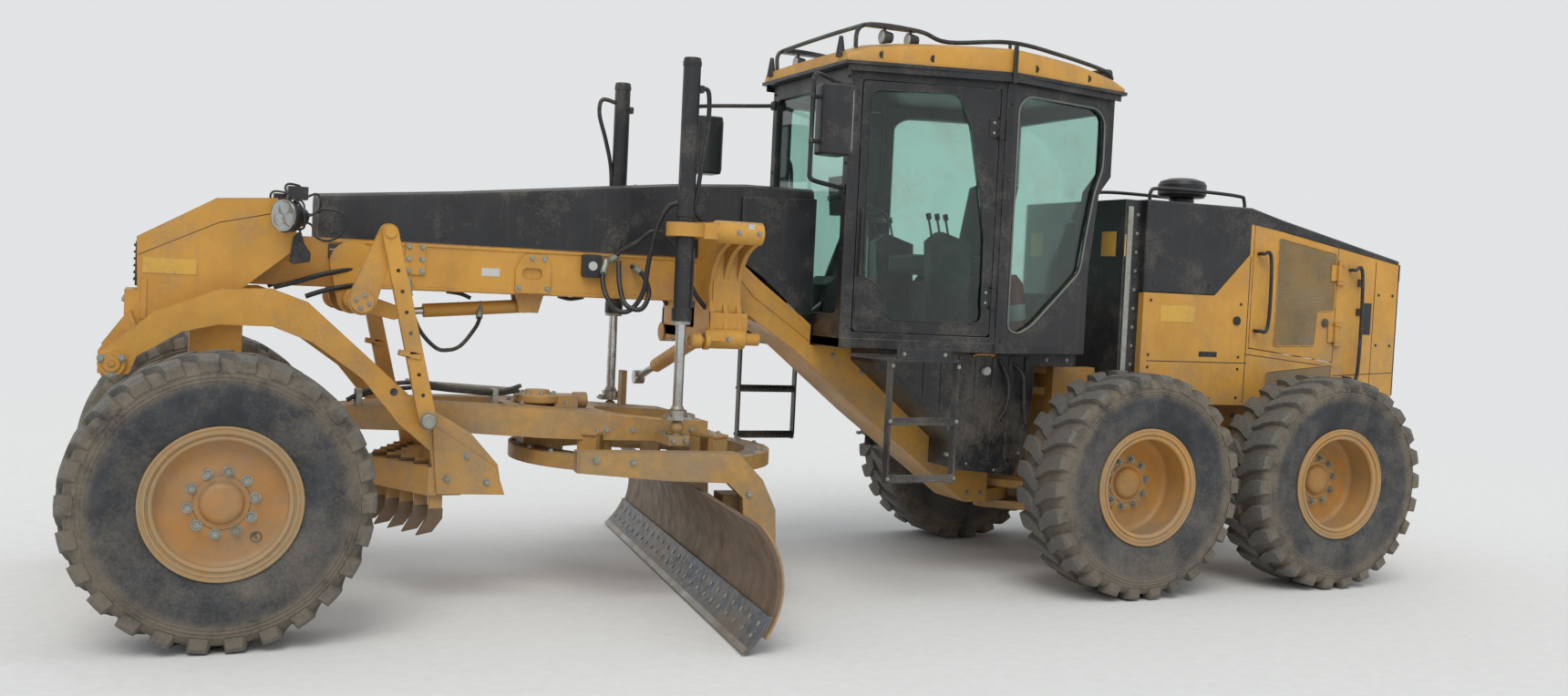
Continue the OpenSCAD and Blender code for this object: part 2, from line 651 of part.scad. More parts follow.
// Knuckle, left: kingpin, yoke, spindle and steering arm.
module knuckle() color(yellow) place() {
    pin_z(0, kingpin_y, 555, 795, kingpin_r);
    difference() {
        box([-60, kingpin_y - 60, 555], [60, kingpin_y + 115, 795]);
        box([-61, kingpin_y - 61, 600 - clear], [61, kingpin_y + 80, 750 + clear]);
    }
    pin_y(0, kingpin_y + 110, track / 2 + front_dish - 60 - gap, wheel_z, 80);
    pin_y(0, kingpin_y + 110, track / 2 + front_dish - gap, wheel_z, spindle_r);
    difference() {
        box([-steer_arm - 35, kingpin_y - 35, 560], [-50, kingpin_y + 35, 590]);
        pin_z(-steer_arm, kingpin_y, 550, 600, 15 + gap);
    }
}

module tie_rod() color(steel) place() {
    bar([-steer_arm, -kingpin_y - 20, tie_z], [-steer_arm, kingpin_y + 20, tie_z], tie_r);
    both() pin_z(-steer_arm, kingpin_y, 560, tie_z, 15);
}

// Fixed half of a hinge: the pin with a collar above and below the knuckle.
module hinge_post(at, z) translate([at.x, at.y + hinge_out, z]) {
    translate([0, 0, -25]) cylinder(r = hinge_r, h = hinge_h + 50);
    for (h = [-25, hinge_h + 2]) translate([0, 0, h]) {
        cylinder(r = hinge_r + 6, h = 23);
        translate([-50, -hinge_out - 5, 0]) cube([50, hinge_out + 5, 23]);
    }
}

rear_frame();
tandems();
engine_block();
bulkhead();
engine_hood();
intake();
color(black) place() hatch_panel();  // engine_door_left
color(black) place() mirror([0, 1, 0]) hatch_panel();  // engine_door_right
front_frame();
frame_cover();
headlamps();
cab_shell();
cab_roof();
cab_glass();
operator_seat();
console();
mirrors();
side_tanks();
steps();
lift_bolster();
color(black) place() door_panel();  // cab_door_left
color(black) place() mirror([0, 1, 0]) door_panel();  // cab_door_right
place() door_glass();  // door_glass_left
place() mirror([0, 1, 0]) door_glass();  // door_glass_right
lift_barrel(1);  // lift_barrel_left
lift_barrel(-1);  // lift_barrel_right
lift_rod(1);  // lift_rod_left
lift_rod(-1);  // lift_rod_right
shift_barrel();
shift_rod();
drawbar_pivot();
drawbar();
circle_part();  // circle
blade_bracket();
moldboard();
cutting_edge();
scarifier();
scarifier_crank();
scarifier_links();
scarifier_barrel();
scarifier_rod();
front_axle();
knuckle();  // knuckle_left
mirror([0, 1, 0]) knuckle();  // knuckle_right
tie_rod();
at_wheel(0) tyre();  // tyre_front_left
at_wheel(1) tyre();  // tyre_front_right
at_wheel(2) tyre();  // tyre_mid_left
at_wheel(3) tyre();  // tyre_mid_right
at_wheel(4) tyre();  // tyre_rear_left
at_wheel(5) tyre();  // tyre_rear_right
at_wheel(0) rim(front_dish);  // rim_front_left
at_wheel(1) rim(front_dish);  // rim_front_right
at_wheel(2) rim(-rear_dish);  // rim_mid_left
at_wheel(3) rim(-rear_dish);  // rim_mid_right
at_wheel(4) rim(-rear_dish);  // rim_rear_left
at_wheel(5) rim(-rear_dish);  // rim_rear_right
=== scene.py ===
import math

import bmesh
import bpy
from mathutils import Matrix, Vector
from mathutils.geometry import tessellate_polygon


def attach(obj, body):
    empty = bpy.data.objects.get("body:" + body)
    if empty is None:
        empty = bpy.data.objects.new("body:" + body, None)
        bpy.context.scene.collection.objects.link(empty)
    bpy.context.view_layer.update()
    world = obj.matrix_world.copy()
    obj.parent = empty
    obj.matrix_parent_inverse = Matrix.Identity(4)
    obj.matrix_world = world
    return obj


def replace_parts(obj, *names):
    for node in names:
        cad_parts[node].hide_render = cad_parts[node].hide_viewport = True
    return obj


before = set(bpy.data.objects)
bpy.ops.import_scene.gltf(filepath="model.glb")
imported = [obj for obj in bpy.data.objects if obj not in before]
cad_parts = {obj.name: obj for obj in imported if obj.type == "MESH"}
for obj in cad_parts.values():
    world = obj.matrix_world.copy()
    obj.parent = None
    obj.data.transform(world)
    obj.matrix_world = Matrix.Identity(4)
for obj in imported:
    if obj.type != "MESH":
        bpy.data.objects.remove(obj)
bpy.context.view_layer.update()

# The studio: a pale floor that fades into a pale surround, one broad soft lamp from the camera's
# side and an even sky. The camera stands off the front left corner, at a person's eye height.

camera_place = Vector((3.8356, 7.9831, 1.761))
yaw, pitch, roll = -0.4228, -0.0426, 0.0470
level_right = Vector((-math.cos(yaw), -math.sin(yaw), 0))
level_ahead = Vector((math.sin(yaw), -math.cos(yaw), 0))
ahead = math.cos(pitch) * level_ahead + math.sin(pitch) * Vector((0, 0, 1))
above = -math.sin(pitch) * level_ahead + math.cos(pitch) * Vector((0, 0, 1))
right = math.cos(roll) * level_right + math.sin(roll) * above
up = -math.sin(roll) * level_right + math.cos(roll) * above
camera = bpy.data.objects.new("camera", bpy.data.cameras.new("camera"))
camera.data.lens = 36 * 1562.3 / 1720
camera.data.clip_end = 200
camera.matrix_world = Matrix((
    (right.x, up.x, -ahead.x, camera_place.x),
    (right.y, up.y, -ahead.y, camera_place.y),
    (right.z, up.z, -ahead.z, camera_place.z),
    (0, 0, 0, 1)))
bpy.context.scene.collection.objects.link(camera)
bpy.context.scene.camera = camera
bpy.context.scene.view_settings.view_transform = "Standard"


def lay(tree, kind, inputs=None, **settings):
    """A node of this kind, its inputs given as values or as sockets to link from."""
    made = tree.nodes.new(kind)
    for name, value in settings.items():
        setattr(made, name, value)
    for name, value in (inputs or {}).items():
        if isinstance(value, bpy.types.NodeSocket):
            tree.links.new(value, made.inputs[name])
        else:
            made.inputs[name].default_value = value
    return made


def mix(tree, factor, a, b):
    """Two colours blended."""
    return lay(tree, "ShaderNodeMix", {0: factor, 6: a, 7: b}, data_type="RGBA").outputs[2]


def ease(tree, value, low, high, to_low=0.0, to_high=1.0):
    """A smooth step of a value between two levels."""
    return lay(tree, "ShaderNodeMapRange", {
        "Value": value, "From Min": low, "From Max": high, "To Min": to_low, "To Max": to_high},
        interpolation_type="SMOOTHSTEP").outputs[0]


def reckon(tree, way, a, b):
    """Arithmetic on two values."""
    return lay(tree, "ShaderNodeMath", {0: a, 1: b}, operation=way).outputs[0]


def noise(tree, where, scale, detail, rough=0.5):
    """A cloudy pattern over places."""
    return lay(tree, "ShaderNodeTexNoise", {
        "Vector": where, "Scale": scale, "Detail": detail, "Roughness": rough}).outputs[0]


def object_space(tree):
    """Places in the piece's own space."""
    return lay(tree, "ShaderNodeTexCoord").outputs["Object"]


def blank_look(name):
    """A new material and its empty tree."""
    look = bpy.data.materials.new(name)
    look.use_nodes = True
    look.node_tree.nodes.clear()
    return look, look.node_tree


def round_spots(r, count, a=0.0, b=0.0, start=0.0):
    """Places at even steps round a circle, by its radius, its centre and the first one's angle."""
    turns = [math.radians(start) + 2 * math.pi * i / count for i in range(count)]
    return [(a + r * math.cos(t), b + r * math.sin(t)) for t in turns]


surround = (0.76, 0.77, 0.78, 1)
world = bpy.data.worlds.new("sky")
bpy.context.scene.world = world
world.use_nodes = True
sky = world.node_tree
sky.nodes.clear()
seen = lay(sky, "ShaderNodeLightPath")
plainly = reckon(sky, "MAXIMUM", seen.outputs["Is Camera Ray"],
                 reckon(sky, "MAXIMUM", seen.outputs["Is Glossy Ray"], seen.outputs["Is Transmission Ray"]))
glow = lay(sky, "ShaderNodeBackground", {"Color": (0.93, 0.97, 1.0, 1), "Strength": 0.78})
backdrop = lay(sky, "ShaderNodeBackground", {"Color": surround, "Strength": 1.0})
either = lay(sky, "ShaderNodeMixShader", {0: plainly, 1: glow.outputs[0], 2: backdrop.outputs[0]})
lay(sky, "ShaderNodeOutputWorld", {"Surface": either.outputs[0]})

lamp = bpy.data.objects.new("soft_lamp", bpy.data.lights.new("soft_lamp", "SUN"))
lamp.data.energy = 1.2
lamp.data.angle = math.radians(35)
lamp.data.color = (1.0, 0.97, 0.92)
lamp.rotation_euler = Vector((0.45, 0.85, 1.25)).to_track_quat("Z", "Y").to_euler()
bpy.context.scene.collection.objects.link(lamp)

floor_r = 60.0
floor_mesh = bpy.data.meshes.new("floor")
floor_edge = [(x, y, 0) for x, y in round_spots(floor_r, 60)]
floor_mesh.from_pydata(floor_edge, [], [list(range(len(floor_edge)))])
floor = bpy.data.objects.new("floor", floor_mesh)
bpy.context.scene.collection.objects.link(floor)
floor_look, ground = blank_look("floor")
floor_spot = object_space(ground)
reach = lay(ground, "ShaderNodeVectorMath", {0: floor_spot}, operation="LENGTH").outputs["Value"]
far = ease(ground, reach, 6.5, 15.0)
ground_paths = lay(ground, "ShaderNodeLightPath")
ground_colour = mix(ground, noise(ground, floor_spot, 14.0, 6.0), (0.70, 0.70, 0.69, 1),
                    (0.80, 0.80, 0.79, 1))
matt = lay(ground, "ShaderNodeBsdfDiffuse", {"Color": ground_colour})
paled = lay(ground, "ShaderNodeEmission", {"Color": surround, "Strength": 1.0})
ground_mix = lay(ground, "ShaderNodeMixShader", {
    0: reckon(ground, "MULTIPLY", far, ground_paths.outputs["Is Camera Ray"]), 1: matt.outputs[0],
    2: paled.outputs[0]})
lay(ground, "ShaderNodeOutputMaterial", {"Surface": ground_mix.outputs[0]})
floor_mesh.materials.append(floor_look)

# Rear frame and tandem cases. Plate and castings welded into one and sprayed orange-yellow; the
# paint has chalked, chipped along its edges and gathered road dust. Cover plates are bolted on.


def effect(name, inputs, outputs):
    """An empty shader group with named sockets: its tree, its inputs and its outputs."""
    tree = bpy.data.node_groups.new(name, "ShaderNodeTree")
    for label, kind, value in inputs:
        tree.interface.new_socket(label, in_out="INPUT", socket_type=kind).default_value = value
    for label, kind in outputs:
        tree.interface.new_socket(label, in_out="OUTPUT", socket_type=kind)
    return tree, tree.nodes.new("NodeGroupInput").outputs, tree.nodes.new("NodeGroupOutput")


COLOUR, NUMBER = "NodeSocketColor", "NodeSocketFloat"

# Dust lies thickest near the ground and on faces that look up.
dusty, d_in, d_out = effect(
    "road_dust",
    [("Under", COLOUR, (0.5, 0.5, 0.5, 1)), ("Dust", COLOUR, (0.27, 0.22, 0.16, 1)), ("Low", NUMBER, 0.2),
     ("High", NUMBER, 1.6), ("Least", NUMBER, 0.1), ("Most", NUMBER, 0.8), ("Size", NUMBER, 3.0)],
    [("Color", COLOUR), ("Mask", NUMBER)])
where = object_space(dusty)
height = lay(dusty, "ShaderNodeSeparateXYZ", {0: where}).outputs["Z"]
low_down = lay(dusty, "ShaderNodeMapRange", {
    "Value": height, "From Min": d_in["High"], "From Max": d_in["Low"], "To Min": d_in["Least"],
    "To Max": d_in["Most"]})
facing = lay(dusty, "ShaderNodeSeparateXYZ", {0: lay(dusty, "ShaderNodeNewGeometry").outputs["Normal"]})
lying = ease(dusty, facing.outputs["Z"], 0.55, 0.98, 0.0, 0.30)
cloud = noise(dusty, where, d_in["Size"], 9.0, 0.68)
grit = noise(dusty, where, 70.0, 3.0, 0.6)
patchy = reckon(dusty, "ADD", ease(dusty, cloud, 0.32, 0.72, -0.35, 0.35),
                ease(dusty, grit, 0.35, 0.7, -0.12, 0.14))
amount = reckon(dusty, "ADD", reckon(dusty, "ADD", low_down.outputs[0], lying), patchy)
dust_mask = lay(dusty, "ShaderNodeClamp", {0: amount}).outputs[0]
dusty.links.new(mix(dusty, dust_mask, d_in["Under"], d_in["Dust"]), d_out.inputs["Color"])
dusty.links.new(dust_mask, d_out.inputs["Mask"])

# Edges lose their paint first: where a rounded normal leaves the face's own, broken up by noise.
worn, w_in, w_out = effect(
    "worn_edges", [("Width", NUMBER, 0.008), ("Reach", NUMBER, 0.5), ("Size", NUMBER, 18.0)],
    [("Mask", NUMBER)])
where = object_space(worn)
rounded = lay(worn, "ShaderNodeBevel", {"Radius": w_in["Width"]}, samples=4)
flat = lay(worn, "ShaderNodeNewGeometry")
turned = lay(worn, "ShaderNodeVectorMath", {0: rounded.outputs[0], 1: flat.outputs["Normal"]},
             operation="DOT_PRODUCT")
edge = ease(worn, turned.outputs["Value"], 0.999, 0.85)
scuff = noise(worn, where, w_in["Size"], 8.0, 0.7)
scuffed = reckon(worn, "MULTIPLY", edge, ease(worn, scuff, 0.62, 0.40))
worn.links.new(reckon(worn, "MULTIPLY", scuffed, w_in["Reach"]), w_out.inputs["Mask"])

# Fine unevenness of a sprayed, weathered coat, with streaks that rain has drawn down it.
uneven, u_in, u_out = effect(
    "uneven_coat", [("Size", NUMBER, 5.0), ("Least", NUMBER, 0.35), ("Most", NUMBER, 0.6)],
    [("Tone", NUMBER), ("Streaks", NUMBER), ("Roughness", NUMBER), ("Height", NUMBER)])
where = object_space(uneven)
broad = noise(uneven, where, u_in["Size"], 7.0, 0.62)
peel = noise(uneven, where, 160.0, 2.0)
drawn = lay(uneven, "ShaderNodeMapping", {"Vector": where, "Scale": (26.0, 26.0, 1.6)})
runs = noise(uneven, drawn.outputs[0], 1.0, 4.0)
uneven.links.new(ease(uneven, broad, 0.3, 0.7), u_out.inputs["Tone"])
uneven.links.new(ease(uneven, runs, 0.52, 0.78), u_out.inputs["Streaks"])
gloss = lay(uneven, "ShaderNodeMapRange", {
    "Value": broad, "From Min": 0.3, "From Max": 0.7, "To Min": u_in["Least"], "To Max": u_in["Most"]})
uneven.links.new(gloss.outputs[0], u_out.inputs["Roughness"])
uneven.links.new(reckon(uneven, "ADD", broad, reckon(uneven, "MULTIPLY", peel, 0.12)),
                 u_out.inputs["Height"])


def placed(tree, group, inputs):
    """An effect group in a material, with its own values."""
    return lay(tree, "ShaderNodeGroup", inputs, node_tree=group).outputs


def coated(tree, inputs):
    """The material's shader with these inputs, put out."""
    shader = lay(tree, "ShaderNodeBsdfPrincipled", inputs)
    lay(tree, "ShaderNodeOutputMaterial", {"Surface": shader.outputs[0]})


def painted(name, fresh, faded, bare, dust=(0.27, 0.21, 0.145, 1), low=0.1, high=1.7, least=0.04, most=0.62,
            gloss=(0.34, 0.58), reach=0.8, bump=0.25, metallic=0.0, streak=0.16, edges=0.009, grain=4.0):
    """Weathered paint or metal: two tones, streaks, bare edges, dust from the ground up."""
    look, tree = blank_look(name)
    coat = placed(tree, uneven, {"Size": grain, "Least": gloss[0], "Most": gloss[1]})
    chips = placed(tree, worn, {"Width": edges, "Reach": reach, "Size": 22.0})
    colour = mix(tree, coat["Tone"], fresh, faded)
    colour = mix(tree, reckon(tree, "MULTIPLY", coat["Streaks"], streak), colour, dust)
    colour = mix(tree, chips["Mask"], colour, bare)
    dirt = placed(tree, dusty, {
        "Under": colour, "Dust": dust, "Low": low, "High": high, "Least": least, "Most": most})
    rough = reckon(tree, "MAXIMUM", coat["Roughness"], reckon(tree, "MULTIPLY", dirt["Mask"], 0.88))
    relief = lay(tree, "ShaderNodeBump", {"Strength": bump, "Distance": 0.003, "Height": coat["Height"]})
    coated(tree, {"Base Color": dirt["Color"], "Metallic": metallic, "Roughness": rough,
                  "Normal": relief.outputs[0]})
    return look


def dress(look, *nodes):
    """Gives CAD nodes a material."""
    for node in nodes:
        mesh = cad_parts[node].data
        mesh.materials.clear()
        mesh.materials.append(look)


yellow = painted("yellow_paint", (0.66, 0.335, 0.052, 1), (0.55, 0.275, 0.048, 1), (0.12, 0.07, 0.04, 1))
dress(yellow, "rear_frame", "tandems", "front_frame")
graphite = painted("graphite_paint", (0.013, 0.0135, 0.016, 1), (0.022, 0.023, 0.026, 1),
                   (0.10, 0.09, 0.08, 1), dust=(0.17, 0.145, 0.115, 1), least=0.03, most=0.40,
                   gloss=(0.3, 0.5), streak=0.08)
zinc = painted("zinc_plate", (0.42, 0.44, 0.40, 1), (0.30, 0.33, 0.29, 1), (0.16, 0.10, 0.06, 1),
               metallic=0.55, least=0.05, most=0.45, edges=0.003, grain=30.0)
nodes_x = 3.4985  # where the front axle stands; pieces below are placed by their distance from it


def at(x, y, z):
    """A place by its distance from the front axle, from the centre line and over the ground."""
    return Vector((x + nodes_x, y, z))


def made(name, shape, look, body, slot, rounding=0.0, smooth=40.0):
    """A finished piece from a bmesh: faces out, edges eased, dressed, and riding on its body."""
    mesh = shape
    if isinstance(shape, bmesh.types.BMesh):
        bmesh.ops.remove_doubles(shape, verts=shape.verts, dist=1e-6)
        bmesh.ops.recalc_face_normals(shape, faces=shape.faces)
        mesh = bpy.data.meshes.new(name)
        shape.to_mesh(mesh)
        shape.free()
    mesh.materials.clear()
    mesh.materials.append(look)
    mesh.polygons.foreach_set("use_smooth", [True] * len(mesh.polygons))
    mesh.set_sharp_from_angle(angle=math.radians(smooth))
    piece = bpy.data.objects.new(name, mesh)
    bpy.context.scene.collection.objects.link(piece)
    if rounding:
        eased = piece.modifiers.new("eased", "BEVEL")
        eased.width = rounding
        eased.segments = 2
        eased.limit_method = "ANGLE"
        eased.angle_limit = math.radians(40)
    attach(piece, body)
    return piece


def slab(bm, outline, low, high, across="Y", turn=None):
    """A flat outline made solid between two levels of the axis across it."""
    rings = []
    for level in (low, high):
        ring = []
        for a, b in outline:
            spot = {"Y": at(a, level, b), "X": at(level, a, b), "Z": at(a, b, level)}[across]
            ring.append(bm.verts.new(turn @ spot if turn else spot))
        rings.append(ring)
    bm.faces.new(rings[0])
    bm.faces.new(rings[1][::-1])
    for i in range(len(outline)):
        j = (i + 1) % len(outline)
        bm.faces.new((rings[0][i], rings[1][i], rings[1][j], rings[0][j]))


def block(bm, low, high, turn=None):
    """A box between two corners."""
    slab(bm, [(low[0], low[2]), (high[0], low[2]), (high[0], high[2]), (low[0], high[2])], low[1], high[1],
         "Y", turn)


def rod(bm, a, b, r, sides=20, r_end=None, turn=None):
    """A round bar from one place to another, tapered where its end has a radius of its own."""
    a, b = Vector(a) + Vector((nodes_x, 0, 0)), Vector(b) + Vector((nodes_x, 0, 0))
    if turn:
        a, b = turn @ a, turn @ b
    along = (b - a).to_track_quat("Z", "Y").to_matrix()
    rings = [[bm.verts.new(centre + along @ Vector((x, y, 0))) for x, y in round_spots(radius, sides)]
             for centre, radius in ((a, r), (b, r if r_end is None else r_end))]
    bm.faces.new(rings[0][::-1])
    bm.faces.new(rings[1])
    for i in range(sides):
        j = (i + 1) % sides
        bm.faces.new((rings[0][i], rings[0][j], rings[1][j], rings[1][i]))


def sprouting(name, inputs):
    """An empty Geometry Nodes tree with its named inputs: the tree, its inputs and its output."""
    tree = bpy.data.node_groups.new(name, "GeometryNodeTree")
    tree.interface.new_socket("Geometry", in_out="INPUT", socket_type="NodeSocketGeometry")
    for label, kind, value in inputs:
        socket = tree.interface.new_socket(label, in_out="INPUT", socket_type=kind)
        if value is not None:
            socket.default_value = value
    tree.interface.new_socket("Look", in_out="INPUT", socket_type="NodeSocketMaterial")
    tree.interface.new_socket("Geometry", in_out="OUTPUT", socket_type="NodeSocketGeometry")
    return tree, tree.nodes.new("NodeGroupInput").outputs, tree.nodes.new("NodeGroupOutput")


def close_off(tree, grown, look, out):
    """Makes what a tree has grown real, gives it its material and puts it out."""
    real = lay(tree, "GeometryNodeRealizeInstances", {0: grown})
    dressed = lay(tree, "GeometryNodeSetMaterial", {"Geometry": real.outputs[0], "Material": look})
    tree.links.new(dressed.outputs[0], out.inputs[0])


def grown(name, seed, tree, values, look):
    """The plain mesh that a tree grows on a seed mesh."""
    holder = bpy.data.objects.new(name, seed)
    bpy.context.scene.collection.objects.link(holder)
    grow = holder.modifiers.new("grow", "NODES")
    grow.node_group = tree
    values = dict(values, Look=look)
    for item in tree.interface.items_tree:
        if item.item_type == "SOCKET" and item.in_out == "INPUT" and item.name in values:
            grow[item.identifier] = values[item.name]
    mesh = bpy.data.meshes.new_from_object(holder.evaluated_get(bpy.context.evaluated_depsgraph_get()))
    holder.modifiers.remove(grow)
    bpy.data.objects.remove(holder)
    mesh.name = name
    return mesh


def seeded(name, places, ways, edges=()):
    """A seed mesh of points, each with the way that it faces."""
    mesh = bpy.data.meshes.new(name)
    mesh.from_pydata([tuple(p) for p in places], edges, [])
    facing = mesh.attributes.new("way", "FLOAT_VECTOR", "POINT")
    facing.data.foreach_set("vector", [c for w in ways for c in w])
    return mesh


def stood(tree, points, thing):
    """Copies of a thing on points, each standing the way its point faces."""
    facing = lay(tree, "GeometryNodeInputNamedAttribute", {"Name": "way"}, data_type="FLOAT_VECTOR")
    upright = lay(tree, "FunctionNodeAlignRotationToVector", {"Vector": facing.outputs["Attribute"]},
                  axis="Z")
    return lay(tree, "GeometryNodeInstanceOnPoints", {
        "Points": points, "Instance": thing, "Rotation": upright.outputs[0]}).outputs["Instances"]


def set_on(name, places, ways, tree, values, look, body, slot):
    """A piece that a tree grows on places, each with the way it faces."""
    return made(name, grown(name, seeded(name + "_seed", places, ways), tree, values, look), look, body, slot)


# A hexagon bolt head on a washer.
bolting, b_in, b_out = sprouting("hex_bolts", [("Across", NUMBER, 0.012), ("Height", NUMBER, 0.010)])
washer = lay(bolting, "GeometryNodeMeshCylinder", {
    "Vertices": 16, "Radius": reckon(bolting, "MULTIPLY", b_in["Across"], 1.4),
    "Depth": reckon(bolting, "MULTIPLY", b_in["Height"], 0.5)})
head = lay(bolting, "GeometryNodeMeshCone", {
    "Vertices": 6, "Radius Bottom": b_in["Across"],
    "Radius Top": reckon(bolting, "MULTIPLY", b_in["Across"], 0.86),
    "Depth": b_in["Height"]})
raised = lay(bolting, "ShaderNodeCombineXYZ", {
    "Z": reckon(bolting, "MULTIPLY", b_in["Height"], 0.2)})
lifted = lay(bolting, "GeometryNodeTransform", {"Geometry": head.outputs["Mesh"],
                                                "Translation": raised.outputs[0]})
whole_bolt = lay(bolting, "GeometryNodeJoinGeometry")
bolting.links.new(washer.outputs["Mesh"], whole_bolt.inputs[0])
bolting.links.new(lifted.outputs[0], whole_bolt.inputs[0])
close_off(bolting, stood(bolting, b_in["Geometry"], whole_bolt.outputs[0]), b_in["Look"], b_out)


def bolts(name, body, spots, across=0.012, look=None, slot="steel", turn=None):
    """Bolt heads at (x, y, z) places, each with the way it faces."""
    places, ways = [], []
    for place, way in spots:
        spot, way = at(*place), Vector(way)
        if turn:
            spot, way = turn @ spot, turn.to_3x3() @ way
        places.append(spot)
        ways.append(way)
    set_on(name, places, ways, bolting, {"Across": across, "Height": across * 0.9}, look or zinc, body, slot)


def mirrored(spots):
    """The same places on both sides of the machine."""
    return [s for (p, w) in spots for s in ((p, w), ((p[0], -p[1], p[2]), (w[0], -w[1], w[2])))]


side, front_way, up_way = (0, 1, 0), (1, 0, 0), (0, 0, 1)
both = (("left", 1), ("right", -1))
tandem_x, axle_z, case_face = -5.872, 0.675, 0.7605
bolts("tandem_bolts", "rear", mirrored(
    [((x, case_face, z), side) for x, z in round_spots(0.16, 12, tandem_x, axle_z)] +
    [((x, case_face, z), side) for s in (-1, 1)
     for x, z in round_spots(0.062, 6, tandem_x + s * 0.378, axle_z)]), across=0.011)
covers = bmesh.new()
for s in (-1, 1):
    face = s * case_face
    rod(covers, (tandem_x, face - s * 0.004, axle_z), (tandem_x, face + s * 0.006, axle_z), 0.19, 48)
made("tandem_covers", covers, yellow, "rear", "yellow", rounding=0.002)
bolts("rear_frame_bolts", "rear", mirrored(
    [((tandem_x + dx, 0.3805, 0.945 + dz), side) for dx in (-0.6, -0.3, 0.3, 0.6) for dz in (0, 0.08)] +
    [((-7.62, y, 0.80), (-1, 0, 0)) for y in (0.10, 0.20, 0.30)]), across=0.016)

# Tyres: bias-ply earthmover tyres with rows of deep angled lugs that wrap round each shoulder and
# fine moulded rings on the sidewall. Mud has dried on the tread and outer band; the rest is bare rubber.

muddy_rubber, tyre_tree = blank_look("muddy_rubber")
from_axle = lay(tyre_tree, "ShaderNodeAttribute", attribute_name="from_axle").outputs["Fac"]
tyre_spot = object_space(tyre_tree)
smears = noise(tyre_tree, tyre_spot, 7.0, 9.0, 0.65)
crumbs = noise(tyre_tree, tyre_spot, 60.0, 5.0, 0.7)
bare_rubber = mix(tyre_tree, ease(tyre_tree, smears, 0.35, 0.7),
                  (0.026, 0.029, 0.034, 1), (0.052, 0.056, 0.062, 1))
worn_tread = mix(tyre_tree, ease(tyre_tree, crumbs, 0.35, 0.65),
                 (0.075, 0.083, 0.092, 1), (0.15, 0.15, 0.14, 1))
scrubbed = mix(tyre_tree, ease(tyre_tree, from_axle, 0.615, 0.66), bare_rubber, worn_tread)
band = reckon(tyre_tree, "MULTIPLY", ease(tyre_tree, from_axle, 0.515, 0.575),
              ease(tyre_tree, from_axle, 0.668, 0.640, 0.35, 1.0))
mud = lay(tyre_tree, "ShaderNodeClamp", {0: reckon(tyre_tree, "MULTIPLY", band, reckon(
    tyre_tree, "ADD", ease(tyre_tree, smears, 0.30, 0.62, 0.25, 0.95),
    ease(tyre_tree, crumbs, 0.4, 0.7, -0.2, 0.2)))}).outputs[0]
caked = mix(tyre_tree, mud, scrubbed, (0.185, 0.15, 0.105, 1))
tyre_coat = placed(tyre_tree, uneven, {"Size": 9.0, "Least": 0.62, "Most": 0.85})
tyre_dirt = placed(tyre_tree, dusty, {
    "Under": caked, "Dust": (0.17, 0.145, 0.115, 1), "Low": 0.0, "High": 1.3, "Least": 0.05, "Most": 0.42})
tyre_bump = lay(tyre_tree, "ShaderNodeBump", {
    "Strength": 0.5, "Distance": 0.004, "Height": reckon(tyre_tree, "ADD", tyre_coat["Height"], reckon(
        tyre_tree, "MULTIPLY", crumbs, reckon(tyre_tree, "ADD", mud, 0.15)))})
coated(tyre_tree, {
    "Base Color": tyre_dirt["Color"], "Roughness": tyre_coat["Roughness"], "Normal": tyre_bump.outputs[0]})


def lathe(bm, profile, sides):
    """A closed ring turned about Z from (radius, height) points; a radius of nought closes on the axis."""
    rings = [[bm.verts.new((r * x, r * y, h)) for r, h in profile] for x, y in round_spots(1, sides)]
    for i in range(sides):
        here, there = rings[i], rings[(i + 1) % sides]
        for j in range(len(profile)):
            k = (j + 1) % len(profile)
            if profile[j][0] or profile[k][0]:
                bm.faces.new((here[j], there[j], there[k], here[k]))


def on_wheel(x, y):
    """From a wheel drawn along Z, outer face up, to its place on the machine."""
    s = 1 if y > 0 else -1
    return Matrix.Translation(at(x, y, axle_z)) @ Matrix.Rotation(-s * math.pi / 2, 4, "X")


def mark_from_axle(mesh, x):
    """Stores each point's distance from its wheel's axis, for the mud and dust on it."""
    away = mesh.attributes.new("from_axle", "FLOAT", "POINT")
    away.data.foreach_set("value", [math.hypot(v.co.x - x - nodes_x, v.co.z - axle_z) for v in mesh.vertices])


tyre_side = [(0.3185, 0.150), (0.3185, 0.1655), (0.330, 0.1715), (0.352, 0.1768), (0.366, 0.181),
             (0.385, 0.1915), (0.41, 0.203), (0.44, 0.2105), (0.475, 0.2138), (0.510, 0.2142),
             (0.540, 0.2135), (0.553, 0.2125), (0.556, 0.2148), (0.561, 0.2148), (0.564, 0.2118),
             (0.571, 0.2112), (0.574, 0.2140), (0.579, 0.2136), (0.582, 0.2100), (0.590, 0.2088),
             (0.593, 0.2116), (0.598, 0.2108), (0.602, 0.2070), (0.618, 0.200), (0.634, 0.186),
             (0.643, 0.160), (0.646, 0.110), (0.647, 0.055)]
tyre_ring = tyre_side + [(0.647, 0.0)] + [(r, -h) for r, h in reversed(tyre_side)]
